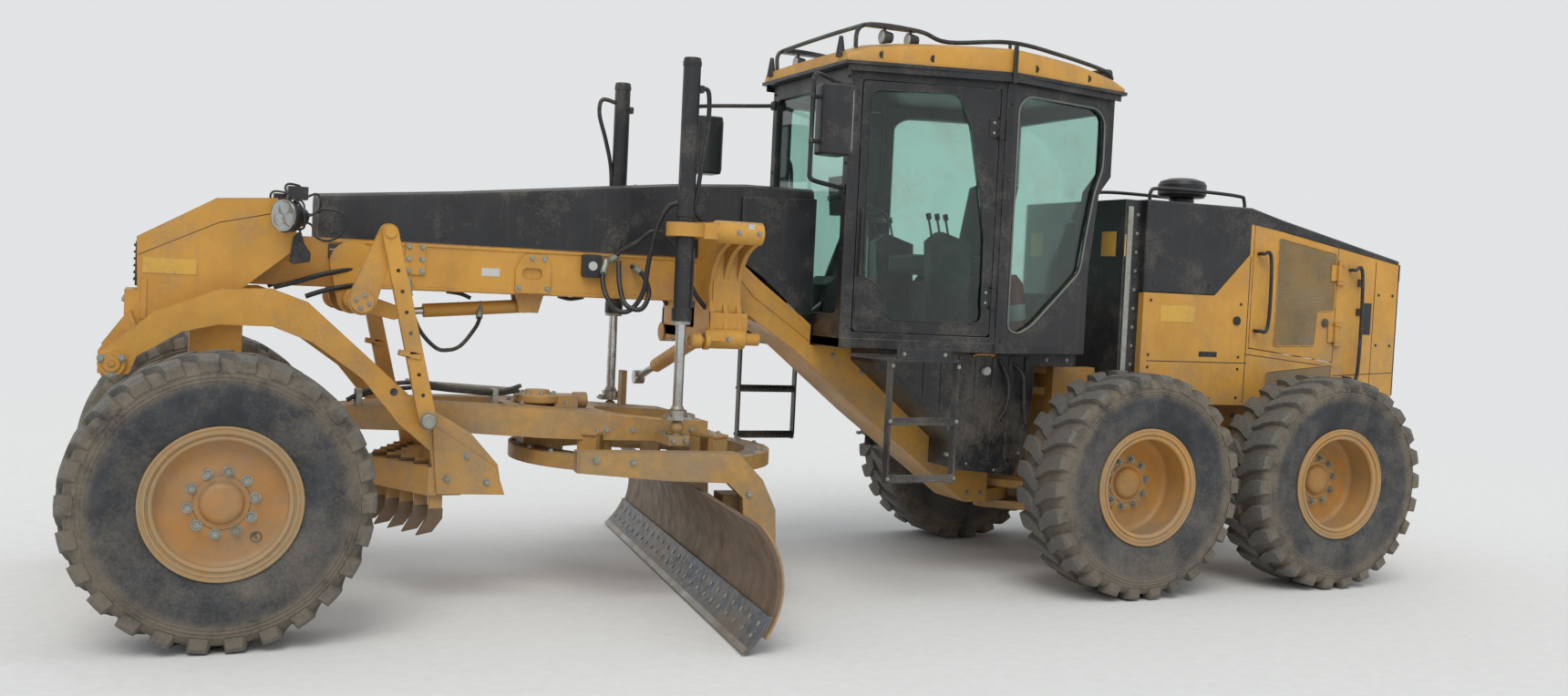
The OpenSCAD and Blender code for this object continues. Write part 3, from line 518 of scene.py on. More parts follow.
# A lug's sections from its tip on the sidewall to its inner end: height, shift round the tyre,
# half width at its top and foot, radius at its top and foot.
lug_cuts = [(0.2135, -0.010, 0.024, 0.034, 0.620, 0.600), (0.2140, -0.010, 0.034, 0.044, 0.648, 0.600),
            (0.2020, -0.008, 0.041, 0.050, 0.668, 0.610), (0.1650, -0.004, 0.045, 0.054, 0.6745, 0.638),
            (0.1150, 0.006, 0.044, 0.053, 0.6748, 0.642), (0.0750, 0.026, 0.040, 0.050, 0.6748, 0.643),
            (0.0350, 0.056, 0.036, 0.046, 0.6748, 0.643), (-0.0050, 0.080, 0.028, 0.038, 0.6740, 0.643)]
lugs_round = 26
one_lug = bmesh.new()
cuts = []
for h, shift, top, foot, r_top, r_foot in lug_cuts:
    cuts.append([one_lug.verts.new((r * math.cos((shift + w) / 0.66), r * math.sin((shift + w) / 0.66), h))
                 for w, r in ((-foot, r_foot), (-top, r_top), (0, r_top + 0.0004), (top, r_top),
                              (foot, r_foot))])
for a, b in zip(cuts, cuts[1:]):
    for i in range(4):
        one_lug.faces.new((a[i], a[i + 1], b[i + 1], b[i]))
one_lug.faces.new(cuts[0][::-1])
one_lug.faces.new(cuts[-1])
bmesh.ops.recalc_face_normals(one_lug, faces=one_lug.faces)
lug_seed = bpy.data.meshes.new("lug_seed")
one_lug.to_mesh(lug_seed)
one_lug.free()

# Lugs set round the axis at even steps, and a mirrored row half a step on.
treading, t_in, t_out = sprouting("tread_rows", [("Lugs", "NodeSocketInt", 26)])
step = reckon(treading, "DIVIDE", 2 * math.pi, t_in["Lugs"])
spots = lay(treading, "GeometryNodePoints", {"Count": t_in["Lugs"]})
numbered = lay(treading, "GeometryNodeInputIndex").outputs[0]
turned_by = reckon(treading, "MULTIPLY", numbered, step)
row = lay(treading, "GeometryNodeInstanceOnPoints", {
    "Points": spots.outputs[0], "Instance": t_in["Geometry"],
    "Rotation": lay(treading, "ShaderNodeCombineXYZ", {"Z": turned_by}).outputs[0]})
row_real = lay(treading, "GeometryNodeRealizeInstances", {0: row.outputs[0]})
half_step = reckon(treading, "MULTIPLY", step, 0.5)
over = lay(treading, "GeometryNodeTransform", {
    "Geometry": row_real.outputs[0], "Scale": (1, 1, -1),
    "Rotation": lay(treading, "ShaderNodeCombineXYZ", {"Z": half_step}).outputs[0]})
turned_out = lay(treading, "GeometryNodeFlipFaces", {0: over.outputs[0]})
both_rows = lay(treading, "GeometryNodeJoinGeometry")
treading.links.new(row_real.outputs[0], both_rows.inputs[0])
treading.links.new(turned_out.outputs[0], both_rows.inputs[0])
close_off(treading, both_rows.outputs[0], t_in["Look"], t_out)
tread_mesh = grown("tread", lug_seed, treading, {"Lugs": lugs_round}, muddy_rubber)

wheel_y, tandem_half = 1.0325, 0.756
wheels = {end + "_" + place: (x, s * wheel_y)
          for end, x in (("front", 0.0), ("mid", tandem_x + tandem_half), ("rear", tandem_x - tandem_half))
          for place, s in both}
for number, (place, (x, y)) in enumerate(wheels.items()):
    ring = bmesh.new()
    lathe(ring, tyre_ring, 96)
    bmesh.ops.recalc_face_normals(ring, faces=ring.faces)
    ring.from_mesh(tread_mesh)
    ring.transform(on_wheel(x, y) @ Matrix.Rotation(0.37 * number, 4, "Z"))
    mesh = bpy.data.meshes.new("tyre_and_tread_" + place)
    ring.to_mesh(mesh)
    ring.free()
    mark_from_axle(mesh, x)
    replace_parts(made("tyre_and_tread_" + place, mesh, muddy_rubber, "wheel_" + place, "rubber", smooth=32),
                "tyre_" + place)

# Rims: pressed steel, a lock ring on the outer flange, ten studs with zinc nuts round a domed hub and
# a hole for the valve. Front ones are dusty, tan round the flange; rear ones are cleaner.


def rim_look(name, ring_tone, clean, dirty):
    """Orange paint that goes tan towards the flange."""
    look = painted(name, clean, dirty, (0.10, 0.06, 0.035, 1), high=1.3, least=0.10, most=0.45, edges=0.006,
                   gloss=(0.4, 0.65))
    tree = look.node_tree
    base = next(n for n in tree.nodes if n.type == "BSDF_PRINCIPLED").inputs["Base Color"]
    out_there = lay(tree, "ShaderNodeAttribute", attribute_name="from_axle").outputs["Fac"]
    rub = noise(tree, object_space(tree), 24.0, 7.0)
    ringed = reckon(tree, "MULTIPLY", ease(tree, out_there, 0.262, 0.300, 0.0, ring_tone),
                    ease(tree, rub, 0.3, 0.62, 0.45, 1.0))
    hub_dirt = reckon(tree, "MULTIPLY", ease(tree, out_there, 0.16, 0.10, 0.0, 0.25), rub)
    tanned = mix(tree, ringed, base.links[0].from_socket, (0.36, 0.26, 0.14, 1))
    tree.links.new(mix(tree, hub_dirt, tanned, (0.10, 0.07, 0.04, 1)), base)
    return look


front_rim = rim_look("front_rim_paint", 0.85, (0.52, 0.24, 0.055, 1), (0.42, 0.20, 0.055, 1))
rear_rim = rim_look("rear_rim_paint", 0.45, (0.60, 0.29, 0.055, 1), (0.50, 0.24, 0.05, 1))
# Near black: the own colour of black rubber, locks and seams, and painted shade where it fills holes, creases
# and dimples.
black_and_painted_shade = painted("black_and_painted_shade", (0.012, 0.011, 0.010, 1), (0.02, 0.018, 0.015, 1), (0.05, 0.04, 0.03, 1))
for place, (x, y) in wheels.items():
    dish = 0.110 if "front" in place else -0.040
    paint = front_rim if "front" in place else rear_rim
    body, turn = "wheel_" + place, on_wheel(x, y)
    profile = [(0.0555, dish - 0.06), (0.105, dish - 0.06), (0.105, dish - 0.012), (0.2475, dish - 0.010),
               (0.2965, dish - 0.028), (0.2965, -0.186), (0.303, -0.189), (0.349, -0.189), (0.3515, -0.187),
               (0.3515, -0.178), (0.3455, -0.1775), (0.3177, -0.1650), (0.3177, 0.1650), (0.3455, 0.1775),
               (0.3515, 0.178), (0.3515, 0.187), (0.349, 0.1892), (0.341, 0.1892), (0.338, 0.1855),
               (0.331, 0.1855), (0.328, 0.1892), (0.318, 0.1885), (0.315, 0.179), (0.307, 0.177),
               (0.304, 0.184), (0.296, 0.1845), (0.288, 0.180), (0.284, 0.172), (0.284, 0.160),
               (0.291, 0.152), (0.2935, 0.140), (0.2935, max(dish + 0.040, -0.01)), (0.2935, dish + 0.036),
               (0.288, dish + 0.024), (0.276, dish + 0.014), (0.255, dish + 0.010), (0.172, dish + 0.009),
               (0.166, dish + 0.013), (0.124, dish + 0.013), (0.120, dish + 0.019), (0.098, dish + 0.021),
               (0.093, dish + 0.033), (0.083, dish + 0.044), (0.065, dish + 0.0495), (0.040, dish + 0.0515),
               (0.015, dish + 0.052), (0.0, dish + 0.052), (0.0, dish + 0.001), (0.0555, dish + 0.001)]
    turned_rim = bmesh.new()
    lathe(turned_rim, profile, 72)
    turned_rim.transform(turn)
    mesh = bpy.data.meshes.new("rim_" + place)
    bmesh.ops.remove_doubles(turned_rim, verts=turned_rim.verts, dist=1e-6)
    bmesh.ops.recalc_face_normals(turned_rim, faces=turned_rim.faces)
    turned_rim.to_mesh(mesh)
    turned_rim.free()
    mark_from_axle(mesh, x)
    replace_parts(made("turned_rim_" + place, mesh, paint, body, "yellow", smooth=35), "rim_" + place)
    places = [turn @ Vector((x, y, dish + 0.0125)) for x, y in round_spots(0.143, 10, start=8)]
    way = turn.to_3x3() @ Vector((0, 0, 1))
    set_on("wheel_nuts_" + place, places, [way] * 10, bolting, {"Across": 0.0185, "Height": 0.019}, zinc,
           body, "steel")
    set_on("stud_ends_" + place, [p + way * 0.010 for p in places], [way] * 10, bolting,
           {"Across": 0.0085, "Height": 0.020}, zinc, body, "steel")
    valve = bmesh.new()
    lathe(valve, [(0.0, dish + 0.0095), (0.019, dish + 0.0095), (0.024, dish + 0.013), (0.027, dish + 0.011),
                  (0.028, dish + 0.007), (0.0, dish + 0.007)], 20)
    lathe(valve, [(0.0, dish + 0.034), (0.004, dish + 0.034), (0.006, dish + 0.026), (0.006, dish + 0.008),
                  (0.0, dish + 0.008)], 12)
    valve.transform(turn @ Matrix.Translation((-0.150 if "front" in place else 0.12, 0.160, 0)))
    made("valve_" + place, valve, black_and_painted_shade, body, "black")

# Cab body: black painted steel. Flat frames stand on the floor's edge, bolted into wide posts, and the
# back leans out above the seat; sprung pin hinges carry the doors at the middle posts.


def plate(bm, loops, low, high, spot):
    """A sheet between two depths: the first outline filled, less the ones after it."""
    corners = [p for loop in loops for p in loop]
    layers = [[bm.verts.new(spot(a, b, depth)) for a, b in corners] for depth in (low, high)]
    for three in tessellate_polygon([[Vector((a, b, 0)) for a, b in loop] for loop in loops]):
        for layer in layers:
            bm.faces.new([layer[i] for i in three])
    start = 0
    for loop in loops:
        for i in range(len(loop)):
            j = (i + 1) % len(loop)
            bm.faces.new((layers[0][start + i], layers[0][start + j], layers[1][start + j],
                          layers[1][start + i]))
        start += len(loop)


def soft(outline, r, steps=4):
    """An outline with its corners rounded."""
    eased = []
    for i, p in enumerate(outline):
        after = outline[(i + 1) % len(outline)]
        p, a, b = Vector(p), Vector(outline[i - 1]) - Vector(p), Vector(after) - Vector(p)
        first = p + a.normalized() * min(r, a.length * 0.45)
        last = p + b.normalized() * min(r, b.length * 0.45)
        for k in range(steps + 1):
            t = k / steps
            eased.append(tuple((1 - t) ** 2 * first + 2 * t * (1 - t) * p + t * t * last))
    return eased


def on_door(s):
    """From (along the door's side, height, depth into the cab) to a place."""
    return lambda a, b, d: at(-3.35 - 0.9695 * a - 0.2449 * d, s * (0.56 + 0.2449 * a - 0.9695 * d), b)


def on_back_side(s):
    """The same for the side behind the door post."""
    return lambda a, b, d: at(-4.30 - 0.9662 * a + 0.2577 * d, s * (0.80 - 0.2577 * a - 0.9662 * d), b)


def on_front(a, b, d):
    """From (across the cab, height, depth) to a place behind the front."""
    return at(-3.35 - d, a, b)


floor_z, eaves_z = 1.425, 3.06
door_hole = [(0.07, 1.52), (0.07, 2.985), (0.91, 2.985), (0.91, 1.52)]
door_pane = soft([(0.125, 2.93), (0.66, 2.94), (0.735, 2.75), (0.80, 2.40), (0.845, 2.12), (0.855, 1.60),
                  (0.275, 1.60), (0.255, 1.74), (0.185, 1.825), (0.125, 1.84)], 0.05)
back_side = [(0.0, floor_z), (0.0, eaves_z), (0.931, eaves_z), (0.931, 2.55), (0.838, 2.43), (0.776, 1.95),
             (0.776, floor_z)]
back_pane = soft([(0.055, 2.90), (0.135, 2.965), (0.77, 2.965), (0.855, 2.90), (0.86, 2.60), (0.79, 2.44),
                  (0.735, 2.19), (0.69, 1.94), (0.27, 1.60), (0.15, 1.545), (0.055, 1.57)], 0.05)
windscreen = soft([(-0.50, 1.62), (-0.50, 2.96), (0.50, 2.96), (0.50, 1.62)], 0.06)
shell = bmesh.new()
plate(shell, [[(-0.56, floor_z), (-0.56, eaves_z), (0.56, eaves_z), (0.56, floor_z)], windscreen], 0.0, 0.05,
      on_front)
for s in (-1, 1):
    plate(shell, [[(0.0, floor_z), (0.0, eaves_z), (0.98, eaves_z), (0.98, floor_z)], door_hole], 0.002, 0.06,
          on_door(s))
    plate(shell, [back_side, back_pane], 0.0, 0.05, on_back_side(s))
    slab(shell, [(-4.335, s * 0.72), (-4.335, s * 0.797), (-4.300, s * 0.808), (-4.262, s * 0.800),
                 (-4.262, s * 0.72)],
         floor_z, eaves_z, "Z")
    for high in (1.70, 2.70):
        place = on_door(s)(0.91, high, -0.017) - at(0, 0, 0)
        rod(shell, tuple(place - Vector((0, 0, 0.014))), tuple(place), 0.015, 16)
        rod(shell, tuple(place + Vector((0, 0, 0.1105))), tuple(place + Vector((0, 0, 0.124))), 0.015, 16)
        block(shell, (-4.262, s * 0.72, high - 0.014), (-4.225, s * 0.79, high - 0.001))
back = [(-5.05, floor_z), (-5.05, 1.95), (-5.11, 2.43), (-5.20, 2.55), (-5.20, eaves_z), (-5.15, eaves_z),
        (-5.15, 2.57), (-5.06, 2.45), (-5.00, 1.95), (-5.00, floor_z)]
for s in (-1, 1):
    slab(shell, back, s * 0.47, s * 0.575)
slab(shell, [(-5.0495, floor_z), (-5.0495, 1.80), (-5.003, 1.80), (-5.003, floor_z)], -0.58, 0.58)
slab(shell, [(-5.1995, 2.95), (-5.1995, eaves_z), (-5.151, eaves_z), (-5.151, 2.95)], -0.5, 0.5)
slab(shell, [(-3.35, 0.56), (-4.30, 0.80), (-5.05, 0.60), (-5.05, -0.60), (-4.30, -0.80), (-3.35, -0.56)],
     floor_z + 0.001, floor_z + 0.059, "Z")
slab(shell, [(-3.36, 0.55), (-4.30, 0.79), (-5.19, 0.55), (-5.19, -0.55), (-4.30, -0.79), (-3.36, -0.55)],
     3.035, 3.058, "Z")
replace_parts(made("cab_body", shell, graphite, "front", "black", rounding=0.004), "cab_shell")
bolts("cab_post_bolts", "front", mirrored(
    [((-4.300, 0.806, z), side) for z in (1.50, 1.95, 2.45, 2.90)] +
    [((-3.349, 0.53, z), front_way) for z in (1.50, 2.0, 2.5, 3.0)] +
    [((-3.349, y, 1.50), front_way) for y in (0.15, 0.35)]), across=0.008, look=graphite, slot="black")
seal_look = painted("pale_seal", (0.20, 0.21, 0.20, 1), (0.16, 0.17, 0.16, 1), (0.05, 0.05, 0.05, 1),
                    most=0.3)
piping, p_in, p_out = sprouting("bent_tube", [("Radius", NUMBER, 0.012), ("Sides", "NodeSocketInt", 12),
                                              ("Round", "NodeSocketInt", 6)])
course = lay(piping, "GeometryNodeMeshToCurve", {0: p_in["Geometry"]})
bent = lay(piping, "GeometryNodeCurveSplineType", {0: course.outputs[0]}, spline_type="CATMULL_ROM")
finer = lay(piping, "GeometryNodeSetSplineResolution", {0: bent.outputs[0], "Resolution": p_in["Round"]})
bore = lay(piping, "GeometryNodeCurvePrimitiveCircle", {"Resolution": p_in["Sides"],
                                                        "Radius": p_in["Radius"]})
tube = lay(piping, "GeometryNodeCurveToMesh", {"Curve": finer.outputs[0], "Profile Curve": bore.outputs[0],
                                               "Fill Caps": True})
close_off(piping, tube.outputs[0], p_in["Look"], p_out)


def tubes(name, paths, radius, look, body, slot, sides=12, rounds=6, closed=False):
    """Bars or hoses that follow paths of (x, y, z) places."""
    places, edges = [], []
    for path in paths:
        first = len(places)
        places += [at(*p) for p in path]
        edges += [(i, i + 1) for i in range(first, len(places) - 1)]
        if closed:
            edges.append((len(places) - 1, first))
    mesh = grown(name, seeded(name + "_seed", places, [(0, 0, 1)] * len(places), edges), piping,
                 {"Radius": radius, "Sides": sides, "Round": rounds}, look)
    return made(name, mesh, look, body, slot, smooth=50)


def both_sides(paths):
    """The same paths on both sides of the machine."""
    return [[(x, s * y, z) for x, y, z in path] for s in (1, -1) for path in paths]


def on_plane(outline, spot, depth):
    """An outline of a flat side as plain (x, y, z) places."""
    return [tuple(spot(a, b, depth) - at(0, 0, 0)) for a, b in outline]


tubes("side_glass_seals", [on_plane(back_pane, on_back_side(s), -0.001) for s in (1, -1)], 0.006, seal_look,
      "front",
      "rubber", sides=8, rounds=1, closed=True)

# Glazing: flat toughened panes, green at depth, held in rubber: the windscreen, the sides behind the
# doors and the rear window ride with the cab, and each door carries its own.


def glazed(name, tone, polish):
    """Clear glass of a tone, its polish dulled in patches by dust."""
    look, tree = blank_look(name)
    film = placed(tree, dusty, {"Under": tone, "Dust": (0.62, 0.60, 0.55, 1), "Low": 0.9, "High": 2.6,
                                "Least": 0.02,
                                "Most": 0.22})
    coat = placed(tree, uneven, {"Size": 3.0, "Least": polish, "Most": polish + 0.05})
    soft_bump = lay(tree, "ShaderNodeBump", {"Strength": 0.02, "Distance": 0.001, "Height": coat["Height"]})
    coated(tree, {
        "Base Color": film["Color"], "Roughness": coat["Roughness"], "Metallic": 0.0,
        "Transmission Weight": 1.0,
        "IOR": 1.45, "Normal": soft_bump.outputs[0]})
    return look


glass = glazed("green_glass", (0.60, 0.80, 0.74, 1), 0.02)
sheets = bmesh.new()
plate(sheets, [windscreen], 0.022, 0.028, on_front)
for s in (-1, 1):
    plate(sheets, [back_pane], 0.020, 0.026, on_back_side(s))
slab(sheets, [(-5.026, 1.80), (-5.026, 1.95), (-5.086, 2.44), (-5.176, 2.56), (-5.176, 2.95), (-5.170, 2.95),
              (-5.170, 2.562), (-5.080, 2.442), (-5.020, 1.95), (-5.020, 1.80)], -0.468, 0.468)
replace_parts(made("cab_panes", sheets, glass, "front", "glass"), "cab_glass")
for place, s in (("left", 1), ("right", -1)):
    sheet = bmesh.new()
    spot = on_door(s)
    plate(sheet, [door_pane], 0.024, 0.030, spot)
    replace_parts(made("door_pane_" + place, sheet, glass, "cab_door_" + place, "glass"), "door_glass_" + place)
    leaf = bmesh.new()
    plate(leaf, [soft([(0.075, 1.525), (0.075, 2.98), (0.905, 2.98), (0.905, 1.525)], 0.03), door_pane], 0.0,
          0.05, spot)
    for high in (1.70, 2.70):
        place_low = spot(0.91, high, -0.017) - at(0, 0, 0)
        rod(leaf, tuple(place_low + Vector((0, 0, 0.0005))), tuple(place_low + Vector((0, 0, 0.110))), 0.015,
            16)
        plate(leaf, [[(0.845, high), (0.845, high + 0.11), (0.898, high + 0.11), (0.898, high)]], -0.010,
              0.001, spot)
        plate(leaf, [[(0.890, high + 0.01), (0.890, high + 0.10), (0.905, high + 0.10),
                      (0.905, high + 0.01)]], -0.018,
              -0.004, spot)
    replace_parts(made("door_leaf_" + place, leaf, graphite, "cab_door_" + place, "black", rounding=0.003),
                "cab_door_" + place)
    tubes("door_seal_" + place, [on_plane(door_pane, spot, -0.001)], 0.004, graphite, "cab_door_" + place,
          "rubber", sides=8, rounds=1, closed=True)
    grip = bmesh.new()
    plate(grip, [soft([(0.085, 1.60), (0.085, 1.74), (0.112, 1.74), (0.112, 1.60)], 0.01)], -0.012, 0.001,
          spot)
    made("door_latch_" + place, grip, graphite, "cab_door_" + place, "black", rounding=0.003)
    tubes("door_handle_" + place, [on_plane([(0.098, 1.86), (0.098, 1.88), (0.098, 2.2), (0.098, 2.22)], spot,
                                            -0.03)],
          0.008, graphite, "cab_door_" + place, "black")
    bolts("door_bolts_" + place, "cab_door_" + place,
          [(tuple(spot(0.870, z, -0.0105) - at(0, 0, 0)), tuple(spot(0, 0, -1) - spot(0, 0, 0)))
           for z in (1.725, 1.785, 2.725, 2.785)], across=0.006, look=zinc)

# Roof: a pressed cap, arched fore and aft, painted yellow over a black gutter that throws the rain
# clear of the doors; four shallow dimples stiffen it and a lip turns down all round.

cap_plan = [(-3.30, 0.60), (-4.30, 0.83), (-5.24, 0.62)]


def cap_half(x):
    """Half the roof's width at a distance."""
    (a, wa), (b, wb) = (cap_plan[0], cap_plan[1]) if x > -4.30 else (cap_plan[1], cap_plan[2])
    return wa + (wb - wa) * (x - a) / (b - a)


def skin(bm, rings):
    """Closes rings of corners, one after the other, into a solid."""
    for a, b in zip(rings, rings[1:]):
        for i in range(len(a)):
            j = (i + 1) % len(a)
            bm.faces.new((a[i], a[j], b[j], b[i]))
    bm.faces.new(rings[0])
    bm.faces.new(rings[-1])


arch = [(-3.30, 0.080), (-3.36, 0.100), (-3.42, 0.125), (-3.60, 0.147), (-3.80, 0.160), (-4.05, 0.168),
        (-4.30, 0.172), (-4.55, 0.164), (-4.80, 0.150), (-4.96, 0.130), (-5.12, 0.105), (-5.18, 0.088),
        (-5.24, 0.067)]
cap = bmesh.new()
rings = []
for x, high in arch:
    w, top = cap_half(x), eaves_z + high
    half = [(w - 0.012, eaves_z + 0.012), (w, eaves_z + 0.020), (w, top - 0.052), (w - 0.010, top - 0.022),
            (w - 0.040, top - 0.006), (w - 0.10, top), (w * 0.5, top + 0.004)]
    rings.append([cap.verts.new(at(x, y, z)) for y, z in
                  half + [(0, top + 0.006)] + [(-y, z) for y, z in reversed(half)]])
skin(cap, rings)
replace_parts(made("roof_cap", cap, yellow, "front", "yellow", smooth=28), "cab_roof")
gutter = bmesh.new()
slab(gutter, [(-3.285, 0.61), (-4.30, 0.846), (-5.25, 0.63), (-5.25, -0.63), (-4.30, -0.846),
              (-3.285, -0.61)],
     3.0605, 3.082, "Z")
for s in (-1, 1):
    plate(gutter, [[(-0.03, 3.025), (-0.03, 3.062), (0.99, 3.062), (0.99, 3.025)]], -0.045, -0.036,
          on_door(s))
    plate(gutter, [[(-0.01, 3.025), (-0.01, 3.062), (0.95, 3.062), (0.95, 3.025)]], -0.045, -0.036,
          on_back_side(s))
made("gutter", gutter, graphite, "front", "black", rounding=0.003)
# The dimples are not shaped: dark discs on the cap's sides stand in for them, as painted shade.
dimples = bmesh.new()
for x in (-3.50, -3.80, -4.45, -4.90):
    for s in (-1, 1):
        w = cap_half(x) + 0.0006
        rod(dimples, (x, s * (w - 0.002), 3.125), (x, s * w, 3.125), 0.022, 20)
made("roof_dimple_shade", dimples, black_and_painted_shade, "front", "black")

# Roof rails and lamps: bent black tube on feet along both edges of the roof, with a plate in front
# that carries two work lamps; each side has a tapered stub in front and a round lamp behind.

rail = [(-3.365, 0.56, 3.165), (-3.405, 0.575, 3.295), (-3.75, 0.60, 3.295), (-3.93, 0.64, 3.245),
        (-4.30, 0.735, 3.272), (-4.70, 0.655, 3.255), (-5.13, 0.54, 3.215), (-5.20, 0.53, 3.165)]
tubes("roof_rails", both_sides([rail, [(-3.405, 0.575, 3.295), (-3.405, 0.2, 3.300), (-3.405, -0.2, 3.300)],
                                [(-5.13, 0.54, 3.215), (-5.13, 0.2, 3.22), (-5.13, -0.2, 3.22)]]),
      0.013, graphite, "front", "black")
rack = bmesh.new()
for s in (-1, 1):
    for x, y, top in ((-3.372, 0.562, 3.17), (-4.30, 0.735, 3.27), (-5.19, 0.532, 3.18)):
        rod(rack, (x, s * y, 3.07), (x, s * y, top), 0.010, 12)
        rod(rack, (x, s * y, 3.07), (x, s * y, eaves_z + 0.012 + (0.15 if x == -4.30 else 0.07)), 0.02, 16)
    slab(rack, [(-3.40, 3.285), (-3.40, 3.298), (-3.74, 3.298), (-3.74, 3.285)], s * 0.57, s * 0.64)
    slab(rack, [(-4.262, 3.02), (-4.262, 3.235), (-4.29, 3.235), (-4.29, 3.02)], s * 0.838, s * 0.850)
    rod(rack, (-3.30, s * 0.50, 3.11), (-3.30, s * 0.50, 3.23), 0.03, 20, r_end=0.012)
    rod(rack, (-5.17, s * 0.50, 3.12), (-5.17, s * 0.50, 3.20), 0.008, 10)
    rod(rack, (-5.13, s * 0.50, 3.20), (-5.20, s * 0.50, 3.20), 0.035, 20)
made("rack_plates", rack, graphite, "front", "black", rounding=0.002)
lamp_cases, lamp_faces = bmesh.new(), bmesh.new()
for s in (-1, 1):
    for x in (-3.53, -3.70):
        rod(lamp_cases, (x - 0.045, s * 0.60, 3.235), (x + 0.020, s * 0.60, 3.235), 0.030, 24, r_end=0.042)
        rod(lamp_cases, (x, s * 0.60, 3.26), (x, s * 0.60, 3.29), 0.008, 10)
        rod(lamp_faces, (x + 0.019, s * 0.60, 3.235), (x + 0.026, s * 0.60, 3.235), 0.039, 24, r_end=0.032)
made("work_lamps", lamp_cases, graphite, "front", "black", rounding=0.002)
pale_lens = painted("pale_lens", (0.52, 0.55, 0.55, 1), (0.44, 0.46, 0.45, 1), (0.3, 0.3, 0.28, 1), most=0.2,
                    gloss=(0.12, 0.3))
made("work_lamp_lenses", lamp_faces, pale_lens, "front", "glass")

# Inside the cab: a sprung seat in woven grey cloth with piped edges and a headrest, a steering
# column with its wheel, arm consoles with levers, a monitor on a post and a fire extinguisher.

seat_cloth, cloth_tree = blank_look("woven_cloth")
cloth_spot = object_space(cloth_tree)
warp = lay(cloth_tree, "ShaderNodeTexWave", {"Vector": cloth_spot, "Scale": 60.0}, bands_direction="Y")
weft = lay(cloth_tree, "ShaderNodeTexWave", {"Vector": cloth_spot, "Scale": 60.0}, bands_direction="Z")
woven = reckon(cloth_tree, "ADD", warp.outputs["Fac"], weft.outputs["Fac"])
shade = mix(cloth_tree, ease(cloth_tree, woven, 0.4, 1.6), (0.030, 0.032, 0.035, 1), (0.045, 0.047, 0.050, 1))
cloth_dirt = placed(cloth_tree, dusty, {"Under": shade, "Dust": (0.16, 0.14, 0.11, 1), "Low": 1.3,
                                        "High": 2.6,
                                        "Least": 0.05, "Most": 0.3})
cloth_bump = lay(cloth_tree, "ShaderNodeBump", {"Strength": 0.4, "Distance": 0.0008, "Height": woven})
coated(cloth_tree, {
    "Base Color": cloth_dirt["Color"], "Roughness": 0.9, "Sheen Weight": 0.3,
    "Normal": cloth_bump.outputs[0]})


def cushion(bm, low, high, crown, lean=0.0, cut=8):
    """A padded block: cut into squares, its edges drawn in and its faces swollen, then leant back."""
    part = bmesh.new()
    block(part, low, high)
    bmesh.ops.subdivide_edges(part, edges=part.edges[:], cuts=cut, use_grid_fill=True)
    lo, hi = at(*low), at(*high)
    mid, span = (lo + hi) / 2, (hi - lo) / 2
    for v in part.verts:
        u = Vector([(v.co[i] - mid[i]) / span[i] for i in range(3)])
        for i in range(3):
            j, k = (i + 1) % 3, (i + 2) % 3
            swell = (1 - u[j] ** 4) * (1 - u[k] ** 4)
            v.co[i] = mid[i] + span[i] * u[i] * (0.90 + 0.10 * swell) + crown * u[i] * swell * 0.3
        v.co.x -= lean * (v.co.z - lo.z)
    mesh = bpy.data.meshes.new("part")
    part.to_mesh(mesh)
    bm.from_mesh(mesh)
    part.free()
    bpy.data.meshes.remove(mesh)


seat_z = floor_z + 0.06
chair = bmesh.new()
cushion(chair, (-4.60, -0.26, seat_z + 0.40), (-4.05, 0.26, seat_z + 0.52), 0.02)
cushion(chair, (-4.66, -0.24, seat_z + 0.47), (-4.55, 0.24, seat_z + 1.02), 0.02, lean=0.18)
cushion(chair, (-4.79, -0.14, seat_z + 1.00), (-4.70, 0.14, seat_z + 1.18), 0.015, lean=0.10)
for s in (-1, 1):
    cushion(chair, (-4.56, s * 0.20 - 0.045, seat_z + 0.47), (-4.10, s * 0.20 + 0.045, seat_z + 0.53), 0.01,
            cut=5)
chair_piece = made("padded_seat", chair, seat_cloth, "front", "seat", smooth=60)
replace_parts(chair_piece, "operator_seat")
tubes("seat_piping", [[(-4.585, s * 0.245, seat_z + 0.515), (-4.33, s * 0.25, seat_z + 0.520),
                       (-4.07, s * 0.235, seat_z + 0.512)] for s in (-1, 1)] +
      [[(-4.625, s * 0.225, seat_z + 0.55), (-4.665, s * 0.23, seat_z + 0.78),
        (-4.70, s * 0.21, seat_z + 0.98)]
       for s in (-1, 1)], 0.005, graphite, "front", "black", sides=8)
inside = bmesh.new()
block(inside, (-4.50, -0.17, seat_z), (-4.20, 0.17, seat_z + 0.36))
slab(inside, [(-4.48, seat_z + 0.36), (-4.22, seat_z + 0.36), (-4.26, seat_z + 0.41), (-4.44, seat_z + 0.41)],
     -0.15, 0.15)
slab(inside, [(-3.45, seat_z), (-3.45, seat_z + 0.30), (-3.52, seat_z + 0.36), (-3.62, seat_z + 0.30),
              (-3.62, seat_z)], -0.15, 0.15)
rod(inside, (-3.54, 0, seat_z + 0.30), (-3.70, 0, seat_z + 0.76), 0.045, 20, r_end=0.035)
slab(inside, [(-3.64, seat_z + 0.74), (-3.62, seat_z + 0.98), (-3.56, seat_z + 0.98), (-3.58, seat_z + 0.74)],
     -0.12, 0.12)
for s in (-1, 1):
    slab(inside, [(-4.32, seat_z + 0.02), (-4.30, seat_z + 0.60), (-4.10, seat_z + 0.66),
                  (-4.02, seat_z + 0.60), (-4.06, seat_z + 0.02)], s * 0.31, s * 0.41)
    for x in (-4.05, -4.11, -4.17):
        rod(inside, (x, s * 0.36, seat_z + 0.62), (x + 0.03, s * 0.36, seat_z + 0.74), 0.007, 10)
        rod(inside, (x + 0.025, s * 0.36, seat_z + 0.73), (x + 0.035, s * 0.36, seat_z + 0.77), 0.016, 12)
rod(inside, (-3.47, 0.44, seat_z + 0.55), (-3.47, 0.44, seat_z + 1.32), 0.014, 12)
